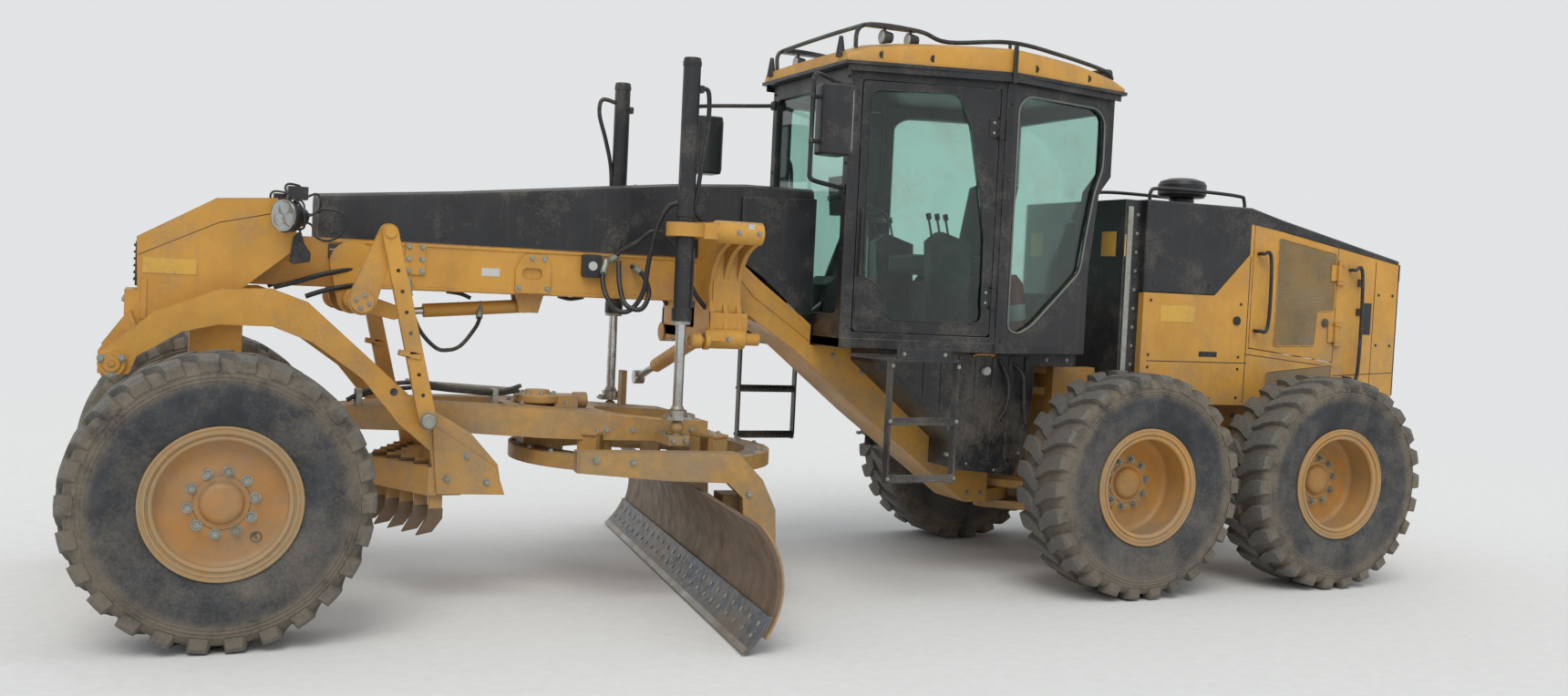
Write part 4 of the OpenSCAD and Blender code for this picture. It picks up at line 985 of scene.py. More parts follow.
slab(inside, [(-3.46, seat_z + 0.98), (-3.46, seat_z + 1.14), (-3.52, seat_z + 1.14), (-3.52, seat_z + 0.98)],
     0.33, 0.49)
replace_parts(made("cab_controls", inside, graphite, "front", "black", rounding=0.006), "console")
hub_z = seat_z + 0.79
wheel_ring = [(-3.72 + 0.19 * math.cos(a) * math.cos(0.35), 0.19 * math.sin(a), hub_z +
               0.19 * math.cos(a) * math.sin(0.35))
              for a in [2 * math.pi * i / 16 for i in range(16)]]
tubes("steering_wheel", [wheel_ring], 0.014, graphite, "front", "black", closed=True)
tubes("wheel_spokes", [[(-3.72, 0, hub_z), wheel_ring[i]] for i in (0, 5, 11)], 0.011, graphite, "front",
      "black")
tubes("cab_grab_bars", both_sides([[(-3.43, 0.50, 1.9), (-3.46, 0.46, 2.0), (-3.46, 0.46, 2.5),
                                    (-3.43, 0.50, 2.6)]]),
      0.012, graphite, "front", "black")
red_paint = painted("red_paint", (0.34, 0.022, 0.016, 1), (0.26, 0.025, 0.018, 1), (0.1, 0.1, 0.1, 1),
                    most=0.25)
white_paint = painted("white_band", (0.62, 0.62, 0.60, 1), (0.52, 0.52, 0.49, 1), (0.2, 0.2, 0.18, 1),
                      most=0.25)
bottle, label = bmesh.new(), bmesh.new()
rod(bottle, (-4.62, 0.50, seat_z + 0.06), (-4.57, 0.50, seat_z + 0.36), 0.055, 24)
rod(bottle, (-4.57, 0.50, seat_z + 0.36), (-4.56, 0.50, seat_z + 0.42), 0.053, 24, r_end=0.018)
rod(label, (-4.6067, 0.50, seat_z + 0.14), (-4.590, 0.50, seat_z + 0.24), 0.0565, 24)
made("extinguisher", bottle, red_paint, "front", "black", rounding=0.003)
made("extinguisher_band", label, white_paint, "front", "black")

# Engine hood: yellow sheet sides with seams, mesh screens over the radiator, bent tube handles and
# round latches. A black lid drops down the front of each side and runs back as a strip.

dress(zinc, "engine_block")


def on_hood(s, face=0.61):
    """From (distance, height, depth in from a side's face) to a place."""
    return lambda a, b, d: at(a, s * (face - d), b)


lid = bmesh.new()
lid_side = [(-5.472, 1.835), (-6.055, 1.835), (-6.335, 2.12), (-6.335, 2.318), (-6.60, 2.285),
            (-7.674, 2.110), (-7.674, 2.144), (-6.600, 2.366), (-6.330, 2.430), (-5.472, 2.430)]
slab(lid, lid_side, -0.616, 0.616)
made("hood_lid", lid, graphite, "rear", "black", rounding=0.014)
dress(yellow, "engine_hood", "engine_door_left", "engine_door_right")
dress(graphite, "bulkhead")
screen, screen_tree = blank_look("mesh_screen")
screen_spot = object_space(screen_tree)
fine_x = lay(screen_tree, "ShaderNodeTexWave", {"Vector": screen_spot, "Scale": 26.0}, bands_direction="X")
fine_z = lay(screen_tree, "ShaderNodeTexWave", {"Vector": screen_spot, "Scale": 26.0}, bands_direction="Z")
holes = reckon(screen_tree, "MULTIPLY", fine_x.outputs["Fac"], fine_z.outputs["Fac"])
patchy = noise(screen_tree, screen_spot, 5.0, 6.0)
mesh_tone = mix(screen_tree, ease(screen_tree, patchy, 0.35, 0.7), (0.30, 0.19, 0.065, 1),
                (0.21, 0.15, 0.075, 1))
# The mesh's holes are darkened toward near black: painted shade from the space behind the screen.
shade_in_holes = mix(screen_tree, ease(screen_tree, holes, 0.35, 0.6, 0.0, 0.75), mesh_tone, (0.05, 0.04, 0.025, 1))
screen_dirt = placed(screen_tree, dusty, {"Under": shade_in_holes, "Dust": (0.27, 0.21, 0.145, 1), "Low": 0.9,
                                          "High": 2.4,
                                          "Least": 0.1, "Most": 0.45})
screen_bump = lay(screen_tree, "ShaderNodeBump", {"Strength": 0.5, "Distance": 0.002, "Height": holes},
                  invert=True)
coated(screen_tree, {"Base Color": screen_dirt["Color"], "Roughness": 0.7, "Normal": screen_bump.outputs[0]})
upper_screen = soft([(-6.575, 2.245), (-7.090, 2.165), (-7.095, 1.775), (-6.945, 1.765), (-6.935, 1.530),
                     (-6.575, 1.520)], 0.02)
lower_screen = soft([(-6.52, 1.345), (-7.10, 1.405), (-7.10, 1.28), (-6.52, 1.24)], 0.02)
for place, s in (("left", 1), ("right", -1)):
    body = "engine_door_" + place
    for name, outline, on in (("door", upper_screen, body), ("foot", lower_screen, "rear")):
        mesh_plate = bmesh.new()
        plate(mesh_plate, [outline], -0.0008, 0.004, on_hood(s))
        made(name + "_screen_" + place, mesh_plate, screen, on, "yellow")
        tubes(name + "_screen_edge_" + place, [on_plane(outline, on_hood(s), -0.001)], 0.004, yellow, on,
              "yellow",
              sides=6, rounds=1, closed=True)
    tubes("door_pull_" + place, [[(x, s * y, z) for x, y, z in
          [(-6.405, 0.61, 2.13), (-6.405, 0.655, 2.13), (-6.47, 0.66, 2.10), (-6.475, 0.66, 1.66),
           (-6.405, 0.655, 1.62), (-6.405, 0.61, 1.62)]]], 0.012, graphite, body, "black")
    lock = bmesh.new()
    rod(lock, (-7.02, s * 0.609, 1.69), (-7.02, s * 0.618, 1.69), 0.030, 24)
    rod(lock, (-7.02, s * 0.616, 1.69), (-7.02, s * 0.622, 1.69), 0.018, 20)
    made("door_lock_" + place, lock, black_and_painted_shade, body, "black", rounding=0.002)
trim = bmesh.new()
seam_half = 0.003
for s in (-1, 1):
    on = on_hood(s)
    for (ax, az), (bx, bz) in (((-5.53, 1.400), (-6.355, 1.400)), ((-6.34, 1.135), (-6.34, 2.11)),
                               ((-7.12, 1.33), (-7.67, 1.36)),
                 ((-7.46, 1.135), (-7.46, 2.13)), ((-6.34, 1.46), (-7.12, 1.39))):
        across = Vector((bz - az, -(bx - ax))).normalized() * seam_half
        plate(trim, [[(ax - across.x, az - across.y), (bx - across.x, bz - across.y),
                      (bx + across.x, bz + across.y), (ax + across.x, az + across.y)]], -0.0006, 0.002, on)
    rod(trim, (-6.25, s * 0.609, 1.68), (-6.25, s * 0.618, 1.68), 0.030, 24)
    for z in (1.75, 1.95):
        plate(trim, [[(-7.30, z), (-7.30, z + 0.05), (-7.34, z + 0.05), (-7.34, z)]], -0.012, 0.001, on)
made("hood_seams", trim, black_and_painted_shade, "rear", "black")
tubes("hood_handles", both_sides([[(-7.22, 0.61, 2.06), (-7.22, 0.655, 2.06), (-7.29, 0.66, 2.02),
                                   (-7.295, 0.66, 1.36), (-7.22, 0.655, 1.32),
                                   (-7.22, 0.61, 1.32)]]), 0.012, graphite, "rear", "black")
tubes("hood_top_rails", both_sides([[(-5.73, 0.30, 2.425), (-5.735, 0.30, 2.51), (-5.80, 0.30, 2.535),
                                     (-6.10, 0.30, 2.54), (-6.47, 0.30, 2.53), (-6.53, 0.30, 2.50),
                                     (-6.54, 0.30, 2.37)]]), 0.012, graphite,
      "rear", "black")
plates_rear = bmesh.new()
for s in (-1, 1):
    plate(plates_rear, [soft([(-5.62, 1.655), (-5.62, 1.765), (-5.90, 1.765), (-5.90, 1.655)], 0.008)],
          -0.0015, 0.001, on_hood(s))
light_yellow = painted("plate_yellow", (0.74, 0.42, 0.06, 1), (0.66, 0.38, 0.07, 1), (0.2, 0.15, 0.1, 1),
                       most=0.3)
made("blank_plates_rear", plates_rear, light_yellow, "rear", "yellow")
badges = bmesh.new()
for s in (-1, 1):
    plate(badges, [soft([(-5.95, 1.435), (-5.95, 1.47), (-6.10, 1.47), (-6.10, 1.435)], 0.004)], -0.001,
          0.001, on_hood(s))
    plate(badges, [soft([(-7.36, 1.62), (-7.36, 1.84), (-7.44, 1.84), (-7.44, 1.62)], 0.004)], -0.001, 0.001,
          on_hood(s))
made("blank_badges", badges, graphite, "rear", "black")
bolts("hood_bolts", "rear", mirrored(
    [((x, 0.6165, 1.90), side) for x in (-5.55, -6.0)] +
    [((x, 0.6103, z), side) for x in (-5.54, -6.28) for z in (1.17, 1.36, 1.44, 1.79)] +
    [((x, 0.6103, 1.16), side) for x in (-5.8, -6.05, -6.6, -6.9, -7.2, -7.5)] +
    [((x, 0.6103, z), side) for x in (-7.50, -7.63) for z in (1.20, 1.55, 1.9)]), across=0.007, look=graphite,
      slot="black")
tail_lamps, tail_lens = bmesh.new(), bmesh.new()
for s in (-1, 1):
    block(tail_lamps, (-7.700, s * 0.46, 2.00), (-7.668, s * 0.60, 2.12))
    block(tail_lamps, (-7.690, s * 0.575, 1.20), (-7.668, s * 0.605, 2.02))
    block(tail_lens, (-7.706, s * 0.475, 2.01), (-7.6985, s * 0.585, 2.11))
made("tail_lamp_boxes", tail_lamps, graphite, "rear", "black", rounding=0.003)
made("tail_lenses", tail_lens, red_paint, "rear", "glass", rounding=0.002)
core = bmesh.new()
for i in range(24):
    z = 1.27 + i * 0.0295
    block(core, (-7.640, -0.445, z), (-7.600, 0.445, z + 0.006))
for y in (-0.3, -0.1, 0.1, 0.3):
    block(core, (-7.650, y - 0.006, 1.255), (-7.630, y + 0.006, 1.975))
made("radiator_fins", core, graphite, "rear", "black")
stack = bmesh.new()
lathe(stack, [(0.0, 2.4245), (0.085, 2.4245), (0.085, 2.50), (0.078, 2.51), (0.150, 2.515), (0.165, 2.535),
              (0.165, 2.60), (0.150, 2.625), (0.09, 2.645), (0.0, 2.65)], 40)
for v in stack.verts:
    v.co += at(-6.24, 0, 0)
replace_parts(made("air_intake", stack, graphite, "rear", "black", smooth=30), "intake")
wall_bits = bmesh.new()
for s in (-1, 1):
    block(wall_bits, (-5.40, s * 0.5603, 1.30), (-5.36, s * 0.568, 2.38))
bolts("bulkhead_bolts", "rear", mirrored([((-5.44, 0.5602, z), side)
                                          for z in [1.25 + 0.12 * i for i in range(10)]]),
      across=0.008)
made("bulkhead_strips", wall_bits, zinc, "rear", "steel", rounding=0.002)
wall_plates = bmesh.new()
for s in (-1, 1):
    block(wall_plates, (-5.345, s * 0.5603, 2.06), (-5.355, s * 0.563, 2.20))
    block(wall_plates, (-5.3405, s * 0.33, 2.06), (-5.337, s * 0.48, 2.22))
made("blank_plates_wall", wall_plates, light_yellow, "rear", "yellow")

# Tanks, steps and mirrors: a black tank with ribbed sides tucks under each side of the cab; the steps
# hang from a bracket on two flat rails; the mirrors stand out in front on bent tube.

tank = bmesh.new()
tank_line = [(-3.62, 1.4245), (-3.62, 1.335), (-4.20, 0.86), (-4.20, 0.70), (-4.60, 0.66), (-4.70, 0.90),
             (-4.72, 1.345), (-5.02, 1.345), (-5.02, 1.4245)]
for s in (-1, 1):
    slab(tank, tank_line, s * 0.1905, s * 0.56)
    for i in range(7):
        x = -3.92 - 0.12 * i
        foot = max(1.345 + (x + 3.62) * 0.80, 0.72) + 0.04
        if x > -4.66:
            block(tank, (x - 0.03, s * 0.558, foot), (x, s * 0.574, 1.40))
    slab(tank, [(-3.70, 1.41), (-3.70, 1.30), (-4.14, 0.92), (-4.14, 0.72), (-4.56, 0.68), (-4.62, 1.0),
                (-4.63, 1.41)],
         s * 0.559, s * 0.566)
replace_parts(made("tanks", tank, graphite, "front", "black", rounding=0.010), "side_tanks")
bolts("tank_bolts", "front", mirrored([((x, 0.5605, z), side) for x, z in
      ((-3.72, 1.38), (-4.95, 1.385), (-4.80, 1.385), (-4.65, 1.30), (-4.66, 1.10), (-4.63, 0.80),
       (-4.25, 0.74), (-4.45, 0.70))]), across=0.009)
tank_lamp, tank_box = bmesh.new(), bmesh.new()
for s in (-1, 1):
    rod(tank_lamp, (-4.35, s * 0.573, 1.31), (-4.35, s * 0.600, 1.31), 0.030, 24, r_end=0.026)
    rod(tank_box, (-4.10, s * 0.57, 0.80), (-4.10, s * 0.60, 0.80), 0.012, 12)
made("tank_lamps", tank_lamp, white_paint, "front", "glass", rounding=0.003)
made("tank_drain", tank_box, zinc, "front", "steel")
tubes("tank_handles", both_sides([[(-4.26, 0.575, 1.40), (-4.27, 0.61, 1.41), (-4.38, 0.61, 1.41),
                                   (-4.39, 0.575, 1.40)]]),
      0.007, yellow, "front", "yellow")
tubes("tank_hoses", both_sides([[(-4.55, 0.57, 1.36), (-4.60, 0.61, 1.28), (-4.62, 0.61, 1.10),
                                 (-4.66, 0.58, 0.98)],
                                [(-4.45, 0.57, 1.38), (-4.50, 0.60, 1.25), (-4.50, 0.60, 1.10),
                                 (-4.46, 0.57, 1.0)]]),
      0.011, graphite, "front", "rubber")
ladder = bmesh.new()
for s in (-1, 1):
    slab(ladder, [(-3.42, 0.5603 * s), (-3.42, 1.115 * s), (-3.84, 1.115 * s), (-3.84, 0.5603 * s)], 1.380,
         1.396, "Z")
    block(ladder, (-3.44, s * 1.100, 1.396), (-3.78, s * 1.115, 1.455))
    for x in (-3.84, -3.42):
        slab(ladder, [(x, 1.40), (x, 0.74), (x + 0.012, 0.70), (x + 0.012, 1.40)], s * 1.055, s * 1.115)
    for z in (0.71, 1.03):
        block(ladder, (-3.835, s * 1.050, z), (-3.415, s * 1.115, z + 0.012))
        block(ladder, (-3.835, s * 1.105, z), (-3.415, s * 1.115, z + 0.045))
        for i in range(14):
            x = -3.82 + i * 0.0295
            slab(ladder, [(x, z + 0.011), (x + 0.007, z + 0.024), (x + 0.014, z + 0.011)], s * 1.052,
                 s * 1.104)
    block(ladder, (-3.80, s * 0.561, 1.30), (-3.60, s * 0.60, 1.382))
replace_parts(made("step_ladder", ladder, graphite, "front", "black", rounding=0.003), "steps")
bolts("step_bolts", "front", mirrored([((x, 1.1155, 1.425), side) for x in (-3.48, -3.74)] +
                                      [((x, 1.1155, z), side) for x in (-3.834, -3.414)
                                       for z in (0.733, 1.053, 1.36)]),
      across=0.008)
tubes("mirror_arms", both_sides([[(-3.345, 0.535, 2.93), (-3.25, 0.63, 2.93), (-2.98, 0.91, 2.93),
                                  (-2.935, 0.945, 2.90), (-2.93, 0.95, 2.84), (-2.93, 0.95, 2.42),
                                  (-2.935, 0.945, 2.37), (-2.98, 0.91, 2.35), (-3.25, 0.63, 2.35),
                                  (-3.345, 0.535, 2.35)]]), 0.013, graphite, "front", "black")
heads, faces = bmesh.new(), bmesh.new()
for s in (-1, 1):
    slab(heads, soft([(-2.965, s * 0.90), (-2.965, s * 1.02), (-3.02, s * 1.06), (-3.135, s * 1.05),
                      (-3.135, s * 0.87), (-3.02, s * 0.87)], 0.03), 2.49, 2.87, "Z")
    for z in (2.56, 2.80):
        rod(heads, (-2.93, s * 0.95, z), (-2.98, s * 0.95, z), 0.012, 12)
        block(heads, (-2.945, s * 0.935, z - 0.02), (-2.915, s * 0.968, z + 0.02))
    for z in (2.35, 2.93):
        block(heads, (-3.3495, s * 0.50, z - 0.03), (-3.325, s * 0.557, z + 0.03))
    slab(faces, soft([(s * 0.89, 2.51), (s * 0.89, 2.85), (s * 1.03, 2.85), (s * 1.03, 2.51)], 0.02), -3.139,
         -3.134, "X")
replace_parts(made("mirror_heads", heads, graphite, "front", "black", rounding=0.018), "mirrors")
silvered = painted("silvered_glass", (0.55, 0.58, 0.60, 1), (0.50, 0.52, 0.53, 1), (0.3, 0.3, 0.3, 1),
                   metallic=0.9, most=0.15, gloss=(0.06, 0.2))
made("mirror_glass", faces, silvered, "front", "glass")

# Blade lift bolster: a welded and cast saddle round the beam. Each side carries a horn with a bossed
# head for the lift cylinder's trunnion and a lower boss with its lock pin; the pins are bolted in.


def horn(s):
    """A horn's outline across the machine, its outer edge cut in by a round hollow."""
    hollow = [(0.64 + 0.26 * math.cos(math.radians(a)), 1.72 + 0.26 * math.sin(math.radians(a)))
              for a in range(112, 216, 8)]
    return [(s * y, z) for y, z in [(0.1535, 1.44), (0.1535, 2.10), (0.36, 2.115), (0.62, 2.105),
                                    (0.665, 2.05), (0.62, 1.99)] + hollow + [(0.425, 1.42), (0.32, 1.40)]]


cast = bmesh.new()
for s in (-1, 1):
    for x in (-2.795, -2.712, -2.630):
        slab(cast, horn(s), x, x + 0.030, "X")
    slab(cast, [(s * 0.1535, 1.44), (s * 0.1535, 2.06), (s * 0.30, 2.07), (s * 0.30, 1.44)], -2.795, -2.60,
         "X")
    block(cast, (-2.79, s * 0.36, 1.60), (-2.62, s * 0.39, 2.02))
    rod(cast, (-2.80, s * 0.62, 2.05), (-2.53, s * 0.62, 2.05), 0.064, 32)
    rod(cast, (-2.53, s * 0.62, 2.05), (-2.505, s * 0.62, 2.05), 0.064, 32, r_end=0.046)
    slab(cast, [(-2.535, s * 0.57), (-2.42, s * 0.57), (-2.405, s * 0.60), (-2.405, s * 0.64),
                (-2.42, s * 0.67), (-2.535, s * 0.67)], 2.005, 2.095, "Z")
    collar = round_spots(0.105, 40)
    hole = [(0.055 * math.cos(a), 0.068 * math.sin(a)) for a in [2 * math.pi * i / 28 for i in range(28)]]
    plate(cast, [collar, hole], 2.012, 2.088, lambda a, b, d, s=s: at(-2.35 + a, s * (0.62 + b), d))
    rod(cast, (-2.81, s * 0.40, 1.45), (-2.59, s * 0.40, 1.45), 0.058, 28)
    rod(cast, (-2.905, s * 0.40, 1.45), (-2.80, s * 0.40, 1.45), 0.036, 24)
    block(cast, (-2.83, s * 0.385, 1.445), (-2.60, s * 0.415, 1.60))
block(cast, (-2.795, -0.36, 1.44), (-2.60, 0.36, 1.50))
block(cast, (-2.65, 0.36, 1.44), (-2.53, 0.54, 1.50))
rod(cast, (-2.54, 0.50, 1.44), (-2.45, 0.50, 1.44), 0.020, 20)
rod(cast, (-2.56, 0.50, 1.44), (-2.53, 0.50, 1.44), 0.050, 24)
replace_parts(made("bolster_casting", cast, yellow, "front", "yellow", rounding=0.006), "lift_bolster")
bolts("bolster_bolts", "front", mirrored(
    [((-2.70, 0.3008, z), side) for z in (1.55, 1.68, 1.81, 1.94)] +
    [((-2.504, 0.62 + 0.035 * math.cos(a), 2.05 + 0.035 * math.sin(a)), front_way)
     for a in (0.8, 2.4, 3.9, 5.5)] +
    [((-2.765 + 0.04 * i, 0.685, 2.05), side) for i in (0, 3)] + [((-2.7, 0.459, 1.45), side)]), across=0.011)
small_plates = bmesh.new()
for s in (-1, 1):
    slab(small_plates, [(-2.70, 2.06), (-2.70, 2.10), (-2.74, 2.10), (-2.74, 2.06)], s * 0.677, s * 0.6795)
made("blank_plate_head", small_plates, white_paint, "front", "steel")

# Lift and shift cylinders: black barrels with welded caps, ports and screwed glands, and bright
# chromed rods that end in ball caps bolted over the studs. Hoses loop to them from the beam.

chromed = painted("chromed_rod", (0.62, 0.63, 0.64, 1), (0.54, 0.55, 0.55, 1), (0.35, 0.30, 0.24, 1),
                  metallic=0.95, low=0.9, high=1.5, least=0.02, most=0.35, gloss=(0.12, 0.28))
dress(chromed, "lift_rod_left", "lift_rod_right", "shift_rod", "scarifier_rod")
dress(graphite, "lift_barrel_left", "lift_barrel_right")
dress(yellow, "shift_barrel", "scarifier_barrel")
for place, s in (("left", 1), ("right", -1)):
    extra = bmesh.new()
    rod(extra, (-2.35, s * 0.62, 2.966), (-2.35, s * 0.62, 2.985), 0.050, 32, r_end=0.046)
    rod(extra, (-2.35, s * 0.62, 2.94), (-2.35, s * 0.62, 2.965), 0.0515, 32)
    rod(extra, (-2.35, s * 0.62, 2.12), (-2.35, s * 0.62, 2.15), 0.0525, 32)
    block(extra, (-2.42, s * 0.60, 2.80), (-2.385, s * 0.64, 2.84))
    block(extra, (-2.42, s * 0.60, 1.625), (-2.385, s * 0.64, 1.665))
    block(extra, (-2.408, s * 0.605, 1.66), (-2.396, s * 0.635, 1.95))
    made("lift_caps_" + place, extra, graphite, "lift_barrel_" + place, "black", rounding=0.002)
    gland = bmesh.new()
    # an open ring, so that the rod slides through
    ring_in = round_spots(0.0290, 32)
    ring_out = round_spots(0.052, 32)
    plate(gland, [ring_out, ring_in], 1.532, 1.5495, lambda a, b, d, s=s: at(-2.35 + a, s * 0.62 + b, d))
    made("lift_gland_" + place, gland, zinc, "lift_barrel_" + place, "steel", rounding=0.001)
    foot = bmesh.new()
    rod(foot, (-2.35, s * 0.62, 1.062), (-2.35, s * 0.62, 1.085), 0.040, 28, r_end=0.029)
    block(foot, (-2.425, s * 0.575, 1.006), (-2.275, s * 0.665, 1.022))
    made("lift_foot_" + place, foot, zinc, "lift_rod_" + place, "steel", rounding=0.002)
    bolts("lift_foot_bolts_" + place, "lift_rod_" + place,
          [((-2.35 + dx, s * (0.62 + dy), 1.0225), up_way) for dx in (-0.058, 0.058)
           for dy in (-0.028, 0.028)], across=0.010)

# Front frame: a welded box beam in yellow with a cast nose, bolted plates and lugs. The black cover on
# top is folded sheet, bolted down, wider at the cab; blank plates stand where a label would be.

beam_bits = bmesh.new()
for s in (-1, 1):
    slab(beam_bits, soft([(-0.93, 1.735), (-0.93, 1.905), (-1.04, 1.905), (-1.04, 1.735)], 0.01), s * 0.152,
         s * 0.162)
    plate(beam_bits, [soft([(-1.53, 1.66), (-1.53, 1.80), (-1.58, 1.88), (-1.70, 1.88), (-1.73, 1.82),
                            (-1.73, 1.66)], 0.02),
                      soft([(-1.57, 1.74), (-1.57, 1.80), (-1.68, 1.80), (-1.68, 1.74)], 0.03)],
          0.0, 0.016, lambda a, b, d, s=s: at(a, s * (0.152 + d), b))
    block(beam_bits, (-0.50, s * 0.152, 1.655), (-2.75, s * 0.158, 1.672))
    block(beam_bits, (-0.50, s * 0.152, 1.888), (-2.75, s * 0.158, 1.905))
    slab(beam_bits, [(-2.86, 1.88), (-2.99, 1.76), (-3.27, 1.57), (-3.335, 1.50), (-3.335, 1.44),
                     (-3.22, 1.52), (-2.95, 1.70), (-2.86, 1.80)], s * 0.1905, s * 0.196)
    slab(beam_bits, [(0.36, 1.46), (0.36, 1.66), (0.33, 1.66), (0.33, 1.46)], s * 0.320, s * 0.324)
made("beam_plates", beam_bits, yellow, "front", "yellow", rounding=0.003)
bolts("beam_bolts", "front", mirrored(
    [((x, 0.1622, z), side) for x in (-0.95, -1.02) for z in (1.755, 1.82, 1.885)] +
    [((x, 0.1682, z), side) for x, z in ((-1.55, 1.69), (-1.71, 1.69), (-1.62, 1.855), (-1.69, 1.855))] +
    [((0.4305, y, z), front_way) for y, z in ((0.27, 1.34), (0.27, 1.55), (0.12, 1.34), (0.12, 1.55))] +
    [((-3.5 - i * 0.2, 0.1903, 1.36 - i * 0.105), side) for i in range(4)] +
    [((x, 0.1905, 0.50), side) for x in (-4.50, -4.60)]), across=0.011)
nose_plates, nose_crease_shade = bmesh.new(), bmesh.new()
for s in (-1, 1):
    slab(nose_plates, soft([(0.355, 1.685), (0.355, 1.765), (0.105, 1.765), (0.105, 1.685)], 0.008),
         s * 0.3202, s * 0.3225)
    for (ax, az), (bx, bz) in (((0.375, 1.772), (0.01, 1.952)), ((0.01, 1.952), (-0.24, 2.012))):
        slab(nose_crease_shade, [(ax, az - 0.002), (ax, az + 0.002), (bx, bz + 0.002), (bx, bz - 0.002)], s * 0.3201,
             s * 0.3206)
made("blank_plates_nose", nose_plates, light_yellow, "front", "yellow")
# Thin near-black strips along the nose's creases: painted shade in the folds.
made("nose_crease_shade_lines", nose_crease_shade, black_and_painted_shade, "front", "black")
grille_face = bmesh.new()
slab(grille_face, soft([(-0.27, 1.62), (-0.27, 1.84), (0.27, 1.84), (0.27, 1.62)], 0.02), 0.371, 0.386, "X")
for i in range(6):
    z = 1.645 + i * 0.034
    slab(grille_face, [(-0.25, z), (-0.25, z + 0.012), (0.25, z + 0.012), (0.25, z)], 0.384, 0.394, "X")
made("nose_grille", grille_face, graphite, "front", "black", rounding=0.003)
cover = bmesh.new()
cover_foot, folds = 1.9103, []
for x, z, w in ((-0.48, 2.140, 0.155), (-1.19, 2.200, 0.157), (-1.95, 2.280, 0.160), (-2.44, 2.330, 0.165),
                (-2.90, 2.360, 0.172), (-3.33, 2.360, 0.175)):
    half = [(w, cover_foot), (w, z - 0.05), (w - 0.012, z - 0.015), (w - 0.045, z)]
    folds.append([cover.verts.new(at(x, y, h)) for y, h in half + [(-y, h) for y, h in reversed(half)]])
skin(cover, folds)
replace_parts(made("beam_cover", cover, graphite, "front", "black", smooth=25), "frame_cover")
cheeks = bmesh.new()
for s in (-1, 1):
    slab(cheeks, [(-2.86, 1.905), (-2.86, 2.28), (-3.34, 2.30), (-3.34, 1.60), (-3.27, 1.60), (-3.0, 1.82)],
         s * 0.174, s * 0.1965)
made("cover_cheeks", cheeks, graphite, "front", "black", rounding=0.004)
bolts("cover_bolts", "front", mirrored(
    [((x, 0.1575, 1.94), side) for x in (-0.55, -1.1, -1.65, -2.2, -2.55)] +
    [((x, 0.197, z), side) for x in (-2.92, -2.99) for z in (2.02, 2.13)] +
    [((-3.28, 0.197, z), side) for z in (1.72, 2.2)]),
      across=0.008, look=graphite, slot="black")

# Headlamps: tapered black shells on brackets with a chromed three-lobed reflector and a clear lens,
# a bent guard in front, and their cables looped back to the nose.

shells, bowls, lenses = bmesh.new(), bmesh.new(), bmesh.new()
for s in (-1, 1):
    ahead = Vector((math.cos(math.radians(38)), s * math.sin(math.radians(38)), 0))
    lamp = Vector((-0.325, s * 0.445, 2.00))
    rod(shells, lamp - ahead * 0.07, lamp + ahead * 0.045, 0.045, 36, r_end=0.080)
    rod(shells, lamp + ahead * 0.045, lamp + ahead * 0.050, 0.085, 36)
    block(shells, (-0.345, s * 0.320, 1.925), (-0.295, s * 0.450, 1.940))
    rod(shells, (-0.32, s * 0.44, 1.935), (-0.32, s * 0.44, 1.96), 0.014, 12)
    block(shells, (-0.395, s * 0.40, 2.085), (-0.300, s * 0.48, 2.150))
    rod(shells, (-0.34, s * 0.44, 2.06), (-0.34, s * 0.44, 2.10), 0.012, 12)
    rod(bowls, lamp + ahead * 0.049, lamp + ahead * 0.056, 0.079, 36)
    beside = Vector((-ahead.y, ahead.x, 0))
    for a in (90, 210, 330):
        rise = Vector((0, 0, 0.032 * math.sin(math.radians(a))))
        spot = lamp + beside * 0.032 * math.cos(math.radians(a)) + rise
        rod(bowls, spot + ahead * 0.056, spot + ahead * 0.066, 0.033, 24, r_end=0.020)
    rod(lenses, lamp + ahead * 0.068, lamp + ahead * 0.078, 0.080, 36, r_end=0.060)
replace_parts(made("headlamp_shells", shells, graphite, "front", "black", rounding=0.003), "headlamps")
made("headlamp_reflectors", bowls, chromed, "front", "chrome", rounding=0.002)
clear_lens = glazed("clear_lens", (0.86, 0.89, 0.89, 1), 0.04)
made("headlamp_lenses", lenses, clear_lens, "front", "glass", rounding=0.001)
tubes("lamp_cables", both_sides([
    [(-0.460, 0.45, 2.046), (-0.531, 0.45, 2.042), (-0.576, 0.45, 2.017), (-0.578, 0.44, 1.948),
     (-0.544, 0.42, 1.904), (-0.491, 0.40, 1.888), (-0.447, 0.36, 1.908), (-0.432, 0.33, 1.962),
     (-0.40, 0.30, 1.98)],
    [(-0.390, 0.44, 2.10), (-0.438, 0.43, 2.12), (-0.462, 0.42, 2.09), (-0.456, 0.40, 2.03),
     (-0.46, 0.45, 2.046)],
    [(-0.39, 0.44, 2.0), (-0.43, 0.44, 2.02), (-0.46, 0.45, 2.046)]]), 0.006, graphite, "front", "rubber",
    sides=8)
tubes("lamp_guards", both_sides([[(-0.345, 0.40, 2.14), (-0.36, 0.40, 2.155), (-0.30, 0.44, 2.16),
                                  (-0.29, 0.48, 2.12), (-0.36, 0.50, 2.05), (-0.38, 0.48, 1.95),
                                  (-0.33, 0.44, 1.935)]]),
      0.006, graphite, "front", "black", sides=8)

# Hoses and boxes on the beam: black rubber hoses with pale crimped ends that run along the beam, to
# the scarifier's cylinder and up to the blade lift cylinders, and the small valve boxes between them.

